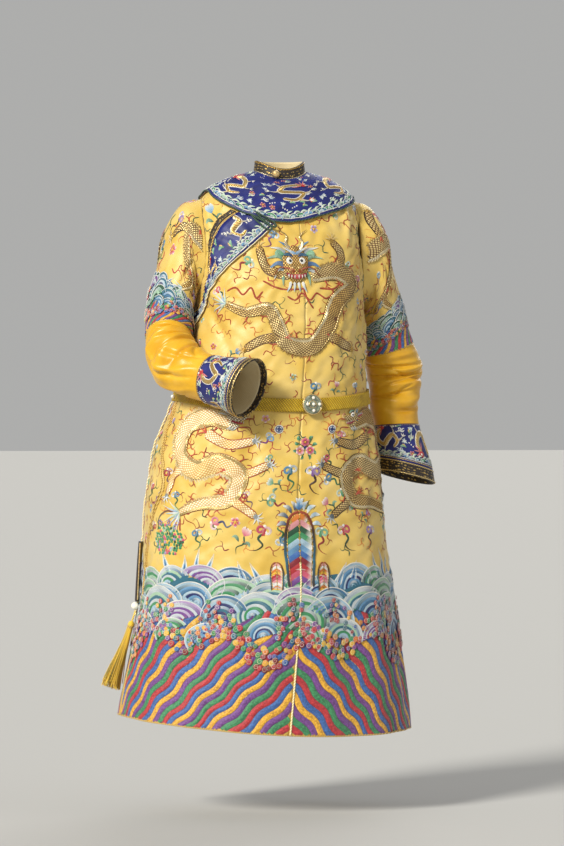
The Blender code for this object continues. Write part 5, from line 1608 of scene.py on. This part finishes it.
# Sleeves, cuffs and collars.
def sleeveGround(sleeve, first, last):
    rows = np.linspace(last, first, 60)
    knots = np.interp(rows, np.arange(len(sleeve.knots)), sleeve.knots)

    def surface(u, v, lift=0.0):  # u runs so that a motif reads the right way round on both arms
        return sleeve(u * sleeve.side, v, lift)

    return Ground(surface, rows, knots[0] - knots, np.full(60, -90.0 * sleeve.side), 180)


def keepRound(ground, low, high):  # all round a tube, with the seam at the back
    middle = ground.us[0, groundCells["kept"] // 2]
    return lambda flat, u, v: (np.abs(u - middle) < 180.1) & (flat[:, 1] > low) & (flat[:, 1] < high)


def embroiderSleeve(name, sleeve, floss, rng):
    ground, side = sleeveGround(sleeve, 0, form["bandSeam"]), sleeve.side
    keep = keepRound(ground, 0.2, 200)

    def clear(flat, u, v):  # off the tight fold of the armpit and the shoulder's cape
        return keep(flat, u, v) & (v > 0.25)

    work = Needlework()
    for k, x in enumerate(np.arange(-74, 74, 2.7)):  # slanting stripes
        y = np.linspace(-1.5, 15.5 + 2.2 * math.sin(1.7 * k), 8)
        path = np.stack([x + 0.55 * y + 0.9 * np.sin(y / 2.6 + 0.5 * k), y], -1)
        work.line(path, 2.75, "stripeGap", -0.06, 0.0, "none", columns=2, step=2.0)
        work.line(path, 2.45, stripes["order"][k % 5], 0.0, 0.4, thread="knots", columns=4, step=1.2)
    seaBorder(work, 66, rng, -6.0, 0.35)
    for x in range(-60, 62, 15):
        spike(work, (x, 21), (x + 5, 27 + rng.uniform(-1, 2)), 3.2, ("sky", "steel"))
    work.sew("sleeve_" + name + "_waves", ground, floss, clear)
    work = Needlework()
    pale = {**sleeveLook, "body": "paleGold gold"}
    busy = []
    for x, y, size, turned, look in (
        (6, 54, 1.0, 1, sleeveLook), (-46, 53, 0.82, -1, pale), (52, 53, 0.82, 1, sleeveLook)
    ):
        dragon(work, "long", look, x * side, y, turned * side, size)
        busy.append((x * side, y, 18 * size, 27 * size))
    scatterFill(work, rng, busy, [], 74, 34, 88)
    tendrils(work, rng, 74, 34, 84)
    work.sew("sleeve_" + name + "_embroidery", ground, floss, clear)


def wisp(pen, first, second):  # a small cloud of three curled strokes
    pen.line([(-2.4, -0.8), (-0.6, 0.4), (1.0, -0.2), (2.8, 0.8)], 1.2, f"{first} {second}", taper="leaf")
    pen.line(coil((-0.6, 1.4), 1.2, 0.3, -90, 1.1, 9), 0.7, f"{first} {second}", step=0.7)
    pen.tail([(0.8, 0.6), (1.6, 1.8), (3.0, 2.2)], 1.0, f"{second} {first}")


def star(pen):  # a small flower of pointed white petals
    for k in range(6):
        petal = [(0, 0), polar(60 * k, 2.3 if k % 2 else 1.7)]
        pen.line(petal, 1.0, "white paleBlue", taper="leaf", step=0.7)


def smallDragon(pen):
    path = [(5.4, 3.2), (2.0, 5.0), (-2.6, 3.4), (-3.4, -0.4), (0.6, -1.6), (4.4, -3.4), (2.4, -6.0),
            (-2.6, -5.4)]
    pen.line(path, [2.4, 3.0, 2.5, 1.2], "white", 0.05, 0.3)
    pen.line(path, [1.7, 2.2, 1.7, 0.7], "brightGold gold", 0.2, 0.5, thread="gold", columns=5)
    for start, end in (
        ((-2.6, 3.4), (-6.0, 5.6)), ((4.0, -3.2), (7.8, -2.0)),
        ((-3.2, 0), (-7.0, -1.6)), ((2, -6), (5.6, -8)),
    ):
        middle = (np.array(start) + end) / 2 + [0.5, -0.6]
        pen.tail([start, middle, end], 1.2, "gold silver", 0.2)
        for a in (-40, 0, 40):
            pen.tail([end, end + polar(a + (0 if end[0] > 0 else 180), 1.9)], 0.6, "white", 0.2)
    for i, angle in enumerate((50, 85, 120, 155, 190)):
        tip = polar(angle, 4.4) + (5.0, 3.4)
        pen.tail([(5.4, 3.2), tip], 1.2, "crimson pink" if i % 2 else "red pink", 0.25)
    pen.dot((6.2, 3.2), 1.6, "red", 0.3, 0.5)
    pen.tail([(5.8, 2.4), (8.2, 2.0)], 0.8, "white", 0.4)
    pen.dot((6.6, 3.8), 0.55, "white", 0.7, 0.3)


def blueGroundWork(work, xLow, xHigh, yLow, yHigh, rng, dragons, pitch, widen=lambda y: 1.0):
    for x, y, size, mirror, angle in dragons:
        smallDragon(Pen(work, x, y, size, angle, mirror, widen(y)))
    for x in np.arange(xLow, xHigh, pitch):
        for y in np.arange(yLow, yHigh, pitch * 0.72):
            x0, y0 = x + rng.uniform(-2, 2), y + rng.uniform(-1.4, 1.4)
            kind, w = rng.random(), widen(y0)
            angle, mirror = rng.uniform(-40, 40), 1 if rng.random() > 0.5 else -1
            covered = any(math.hypot((x0 - d[0]) / w, y0 - d[1]) < 7.5 * d[2] for d in dragons)
            if rng.random() * w > 1 or covered:
                continue
            pen = Pen(work, x0, y0, 0.9, angle, mirror, w)
            if kind < 0.35:
                tones = (("white", "paleBlue"), ("silver", "white"), ("paleGreen", "white"), ("sky", "white"))
                wisp(pen, *tones[int(rng.integers(4))])
            elif kind < 0.55:
                star(pen)
            elif kind < 0.7:
                blossom(pen, ("crimson pink", "rose orange")[int(rng.integers(2))])
            elif kind < 0.85:
                pen.leaf((-2, 0), (2.4, 0.8), 1.6, "green paleGreen")
                pen.leaf((-1, 0), (0.4, 2.6), 1.2, "brightGold gold")
            else:
                for step in range(3):
                    work.dot(pen.at((1.6 * step - 1.6, 0.5 * step)), 0.45, "white", 0.0, 0.3)


def waveTrim(work, xLow, xHigh, radius, foot, rng):  # a row of pale waves over a bare blue edge
    work.line([(xLow, foot), (0, foot), (xHigh, foot)], 0.5, "white", 0.0, 0.3, step=2.0)
    for i, x in enumerate(np.arange(xLow, xHigh, radius * 1.45)):
        tones = ("green paleGreen", "sky teal", "paleGreen darkGreen", "teal paleBlue")[i % 4].split()
        wide, lean = radius * rng.uniform(0.8, 1.1), rng.uniform(-45, 45)
        seaFan(work, (x, foot + 0.3), wide, tones, 0.06 + 0.04 * (i % 2), lean, 0.8)
        crest = Pen(work, x + radius * 0.7, foot + radius * 0.8, radius * 0.3, rng.uniform(-30, 30))
        crest.leaf((-2.4, -0.6), (2.6, 1.4), 1.3, "white paleGreen", 0.2)


def goldLines(work, half, levels, wide, crown, tones=("brightGold", "brightGold"), step=2.0):
    for y, tone in zip(levels, tones):
        work.line([(-half, y), (0, y), (half, y)], wide, tone, 0.0, crown, thread="gold", step=step)


def embroiderCuff(name, sleeve, floss, rng):
    ground = sleeveGround(sleeve, form["cuffSeam"], form["trimSeam"])
    tall, half = ground.places[-1], ground.half
    work = Needlework()
    waveTrim(work, -half, half, 2.7, 2.4, rng)
    around = np.linspace(-half, half, 5)[:-1] + half / 4
    dragons = [(x, tall * 0.6, 1.2, 1 if i % 2 else -1, rng.uniform(60, 100)) for i, x in enumerate(around)]
    blueGroundWork(work, -half, half, 7.0, tall - 1.5, rng, dragons, 5.2)
    goldLines(work, half, (1.4, tall - 0.5), 0.5, 0.3)
    work.sew("cuff_" + name + "_embroidery", ground, floss, keepRound(ground, 0.2, tall - 0.3))
    trim = sleeveGround(sleeve, form["trimSeam"], form["handEnd"])
    deep = trim.places[-1]
    work = Needlework()
    goldLines(work, trim.half, (0.5, deep - 0.5), 0.75, 0.4)
    work.sew("cuff_trim_" + name + "_cord", trim, floss, keepRound(trim, 0.1, deep - 0.1))


def embroiderCollars(floss, rng):
    rows = np.linspace(0, 50, 60)
    cape = Ground(
        lambda u, v, lift=0.0: capeSurface(u, v / (capeTop - capeEdgeRun(u)), lift),
        rows, rows, np.full(60, -90.0), 180, steady=14,
    )
    work = Needlework()
    waveTrim(work, -cape.half, cape.half, 2.9, 2.0, rng)
    dragons = [(2, 24, 1.6, 1, 0), (-36, 17, 1.25, -1, 20), (38, 17, 1.25, 1, -20), (-72, 16, 1.15, 1, 0),
               (74, 16, 1.15, -1, 0), (-112, 15, 1.2, 1, 0), (112, 15, 1.2, -1, 0)]
    blueGroundWork(work, -cape.half, cape.half, 8.0, 44, rng, dragons, 6.0,
                   lambda y: 1 / float(np.interp(y, rows, cape.spread)))
    onCape = lambda flat, u, v: (v > 0.1) & (v < neckRun - 1.4 - capeEdgeRun(u))
    work.sew("cape_embroidery", cape, floss, onCape)

    rows = np.linspace(1.0, 0.19, 30)
    places = arcAlong(overlapSurface(np.full(30, 0.5), rows))
    band = Ground(overlapSurface, rows, places, np.full(30, 0.5), 0.52)
    work = Needlework()
    waveTrim(work, -45, 46, 2.1, 1.3, rng)
    dragons = [(-24, 11.0, 0.95, 1, 10), (6, 10.0, 0.8, -1, -8)]
    blueGroundWork(work, -44, 44, 6.8, places[-1] - 0.8, rng, dragons, 6.0)
    work.sew("overlap_embroidery", band, floss, lambda flat, u, v: (u > -0.01) & (u < 0.995))

    rows, places = np.linspace(0.02, 0.98, 10), np.linspace(0, stand["rise"], 10)
    work = Needlework()
    goldLines(work, 55, (0.5, 6.3), 0.7, 0.35, ("cream", "gold"), 1.5)
    work.sew("stand_collar_cord", Ground(standSurface, rows, places, np.full(10, 70.5), 179), floss)


# Cords sewn along edges, the belt's fittings and the pendant.
def tube(name, points, radius, material, sides=6):
    curve = bpy.data.curves.new(name, "CURVE")
    curve.dimensions = "3D"
    curve.bevel_depth = radius * mm
    curve.bevel_resolution = max(0, sides // 2 - 1)
    curve.use_fill_caps = True
    line = curve.splines.new("POLY")
    line.points.add(len(points) - 1)
    for spot, point in zip(line.points, points):
        spot.co = (*(Vector(point) * mm), 1)
    curve.materials.append(material)
    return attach(addObject(curve), "root")


def makeEdges(materials):
    def cord(name, points, radius, look):
        tube(name + "_cord", points, radius, materials[look])

    runs = np.linspace(0.3, 96, 90)
    cord("vent_edge", [body(frontAngle(r) + 0.45, r, 0.5) for r in runs], 0.55, "creamCord")
    for name, side, toward in (("front", -1, -1), ("back", -1, 1)):
        runs = np.linspace(0.3, armholeRuns[0] - 4, 120)
        edge = [body(sideAngle(r, side, toward) + toward * 1.1, r, 0.35) for r in runs]
        cord(f"side_{name}_edge", edge, 0.4, "goldCord")
    for name, low, high in (("hem_right", -178, -92), ("hem_left", -91, 88), ("hem_back", 92, 178)):
        cord(name + "_edge", body(np.linspace(low, high, 150), np.full(150, 0.15), 0.15), 0.4, "goldCord")
    along = np.linspace(0.02, 0.985, 80)
    cord("overlap_edge", overlapSurface(along, np.full(80, 0.155), 0.1), 0.4, "goldCord")
    cord("overlap_lower", overlapSurface(along, np.full(80, 1.0), 0.05), 0.35, "creamCord")
    cord("cape_edge", capeSurface(np.linspace(-180, 180, 300), np.zeros(300), 0.0), 0.42, "darkCord")
    for i, (start, end) in enumerate((((-116, -19.0), (-104, -27.5)), ((-113, -17.2), (-101, -25.6)))):
        share = np.sin(np.linspace(0, math.pi, 30))
        swing = 1.3 * np.sin(np.linspace(0, 2 * math.pi, 30))
        angles = start[0] + (end[0] - start[0]) * share + swing * 0.6
        heights = start[1] + (end[1] - start[1]) * share + swing
        loop = body(angles, runAt(heights), 3.0 + 0.6 * share)
        tube(f"closure_loop_{i + 1}", loop, 0.55, materials["darkCord"])


pendant = {
    "angle": 166.0, "cordRadius": 0.5, "caseTop": -207.5, "caseLong": 36.5, "caseWide": 4.7, "caseThick": 3.0,
    "beadRadius": 2.3, "tasselEnd": -296.0, "tasselLong": 48.5, "tasselClear": 7.5, "strands": 150,
}


def pendantPoint(height, lift):
    return body(pendant["angle"], runAt(height), lift)


def pendantAxis():  # the case's two ends, the bead's middle and the tassel's start
    middle = form["gap"] + pendant["caseThick"] / 2
    top = pendantPoint(pendant["caseTop"], middle)
    end = pendantPoint(pendant["caseTop"] - pendant["caseLong"], middle)
    down, step = unit(end - top), pendant["beadRadius"] + form["gap"]
    outward = unit(pendantPoint(pendant["caseTop"], 5.0) - pendantPoint(pendant["caseTop"], 0.0))
    bead = end + down * step + outward * pendant["beadRadius"] * 0.4
    return top, end, bead, bead + down * step, outward


def makePendantCord(material):  # it runs on through the case and the bead into the tassel's head
    highest = form["beltHeight"] - belt["width"] / 2 - form["gap"]
    heights = np.linspace(highest, pendant["caseTop"] + form["gap"], 22)
    shown = pendantPoint(heights, np.full(22, belt["clear"] + pendant["cordRadius"]))
    top, end, bead, start, _ = pendantAxis()
    inner = [top + (end - top) * 0.12, top + (end - top) * 0.5, end, bead, start + unit(start - bead) * 3.0]
    steps = [a + (b - a) * share for a, b in zip(inner[:-1], inner[1:]) for share in (0.0, 0.25, 0.5, 0.75)]
    points = np.vstack([shown, steps, inner[-1:]])
    piece = tube("pendant_cord_twist", points, pendant["cordRadius"], material)
    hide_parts("pendant_cord")
    long = float(np.linalg.norm(np.diff(points, axis=0), axis=1).sum())
    return piece, points[0] * mm, long * mm


def makePendant(materials):
    top, end, _, start, outward = pendantAxis()
    across = np.cross(outward, unit(end - top))
    shares = np.linspace(0.03, 0.97, 24)
    half = pendant["caseWide"] / 2 * np.interp(shares, [0, 0.3, 0.7, 1], [0.94, 1.0, 0.95, 0.8])
    strips = []
    for name, side in (("left", -1), ("right", 1)):
        line = top + (end - top) * shares[:, None] + side * across * half[:, None]
        strips.append(tube("pendant_strip_" + name, line, 0.42, materials["giltBrass"]))
    down = unit(pendantPoint(pendant["tasselEnd"], pendant["tasselClear"]) - start)
    side = unit(np.cross(down, [0.0, 1.0, 0.0]))
    ahead = np.cross(side, down)
    rng = np.random.default_rng(5)
    points, faces, slots = [], [], []

    def ray(angle):
        return math.cos(angle) * side + math.sin(angle) * ahead

    def strand(path, radii, slot, count=3):  # a thread of so many sides along a path
        base = len(points)
        rays = [ray(2 * math.pi * k / count) for k in range(count)]
        points.extend(place + radius * out for place, radius in zip(path, radii) for out in rays)
        for r in range(len(path) - 1):
            for k in range(count):
                a, b = base + r * count + k, base + r * count + (k + 1) % count
                faces.append((a, b, b + count, a + count))
                slots.append(slot)

    for i in range(pendant["strands"]):
        a, r = rng.uniform(0, 2 * math.pi), math.sqrt(rng.uniform(0.02, 1))
        long = (pendant["tasselLong"] - 11) * rng.uniform(0.86, 1.0)
        share = np.linspace(0, 1, 12)[:, None]
        sway = rng.uniform(-0.5, 0.5, 2)
        wave = np.sin(share * rng.uniform(5, 9) + a) * 0.18
        flare = ray(a) * r * (1.5 + 4.4 * share**1.4)
        bend = (sway[0] * side + sway[1] * ahead) * share**2
        path = start + down * (10.5 + long * share) + flare + bend + ray(a) * wave
        strand(path, np.full(12, 0.3), 1 if i % 7 == 3 else 0)
    neck = table("radius along", "0.45 0; 0.45 6.5; 1.5 7.1; 1.9 8.6; 1.6 10.2; 1.75 11; 1.2 12")
    strand(start + down * neck["along"][:, None], neck["radius"], 0, 16)
    silks = [materials["tasselSilk"], materials["oliveSilk"]]
    piece = buildMesh("pendant_tassel_silk", np.array(points), faces, slots, silks, {})
    settle(piece, "pendant_tassel")
    turns = np.linspace(0, 6 * math.pi, 60)
    winding = [start + down * 9.4 + 1.78 * (ray(a) + down * a * 0.05) for a in turns]
    strips.append(tube("pendant_binding", winding, 0.22, materials["goldCord"]))
    return piece, strips


def finishFittings(materials):
    looks = {"buckle": "greyJade", "neck_button": "giltBrass", "pendant_case": "brownLacquer"}
    pearls = ["pendant_bead", *(f"buckle_stud_{i}" for i in range(1, 6)), "belt_pearl_1", "belt_pearl_2"]
    looks.update({node: "seedPearl" for node in pearls})
    for node, look in looks.items():
        part = bpy.data.objects[node]
        part.data.materials.clear()
        part.data.materials.append(materials[look])


def makeBuckleRim(materials):  # a gilt rope rim and a ring of carved petals on the buckle's face
    heights = belt["thick"] + form["gap"] + np.array([0.5, 1.5])
    near, far = beltSurface(np.full(2, -79.0), np.zeros(2), heights)
    facing = unit(far - near)
    side = unit(np.cross([0.0, 0.0, 1.0], facing))
    rise = np.cross(facing, side)
    for name, radius, up, wide in (("outer", 5.75, 1.35, 0.32), ("inner", 2.1, 1.85, 0.2)):
        a = np.linspace(0, 2 * math.pi, 60)[:, None]
        ring = near + facing * up + radius * (np.cos(a) * side + np.sin(a) * rise)
        tube("buckle_rim_" + name, ring, wide, materials["giltBrass"])
    for k in range(8):
        (c, s), t = polar(22.5 + 45 * k), np.linspace(0, 2 * math.pi, 14)[:, None]
        ray, across = c * side + s * rise, c * rise - s * side
        petal = near + facing * 1.75 + ray * (3.75 + 1.0 * np.cos(t)) + across * (0.55 * np.sin(t))
        tube(f"buckle_petal_{k + 1}", petal, 0.14, materials["greyJade"])


def sunLight(name, toward, power, spread, colour):  # a far, wide, soft lamp, so the floor is lit evenly
    data = bpy.data.lights.new(name, "SUN")
    data.energy, data.angle, data.color = power, math.radians(spread), linear(colour)
    addObject(data, toward)


def makeStudio():
    floor = {"height": -0.366, "half": 30.0, "colour": "#B8B7B4"}
    half, z = floor["half"], floor["height"]
    mesh = bpy.data.meshes.new("floor")
    corners = [(-half, -half, z), (half, -half, z), (half, half, z), (-half, half, z)]
    mesh.from_pydata(corners, [], [(0, 1, 2, 3)])
    material = startMaterial("paleFloor", {"Roughness": 0.9, "Base Color": rgba(floor["colour"])})[0]
    mesh.materials.append(material)
    addObject(mesh)
    sunLight("key", (-57, -50, 41), 3.95, 13, "#FFFCF4")
    sunLight("fill", (60, -50, 14), 0.3, 50, "#F4F7FF")
    sunLight("back", (40, 70, 40), 0.9, 40, "#FFFFFF")
    world = bpy.data.worlds.new("studio")
    bpy.context.scene.world = world
    world.use_nodes = True
    sky = world.node_tree.nodes["Background"]
    sky.inputs["Color"].default_value = rgba("#FAFAF8")
    sky.inputs["Strength"].default_value = 0.44
    bpy.context.scene.view_settings.view_transform = "Standard"


makeCamera()
materials = makeMaterials()
pendantCord, cordExit, cordLong = makePendantCord(materials["creamCord"])
makeStudio()
sheets = makeCloth(materials)
floss = threadMaterials()
embroiderBody(floss)
rng = np.random.default_rng(23)
for name, sleeve in (("left", leftSleeve), ("right", rightSleeve)):
    embroiderSleeve(name, sleeve, floss, rng)
    embroiderCuff(name, sleeve, floss, rng)
embroiderCollars(floss, rng)
say("sleeves, cuffs and collars")
makeEdges(materials)
finishFittings(materials)
makeBuckleRim(materials)
tassel, strips = makePendant(materials)
say(f"cord {cordLong:.4f} m, sheets {sum(area for _, _, area in sheets.values()):.4f} m2")
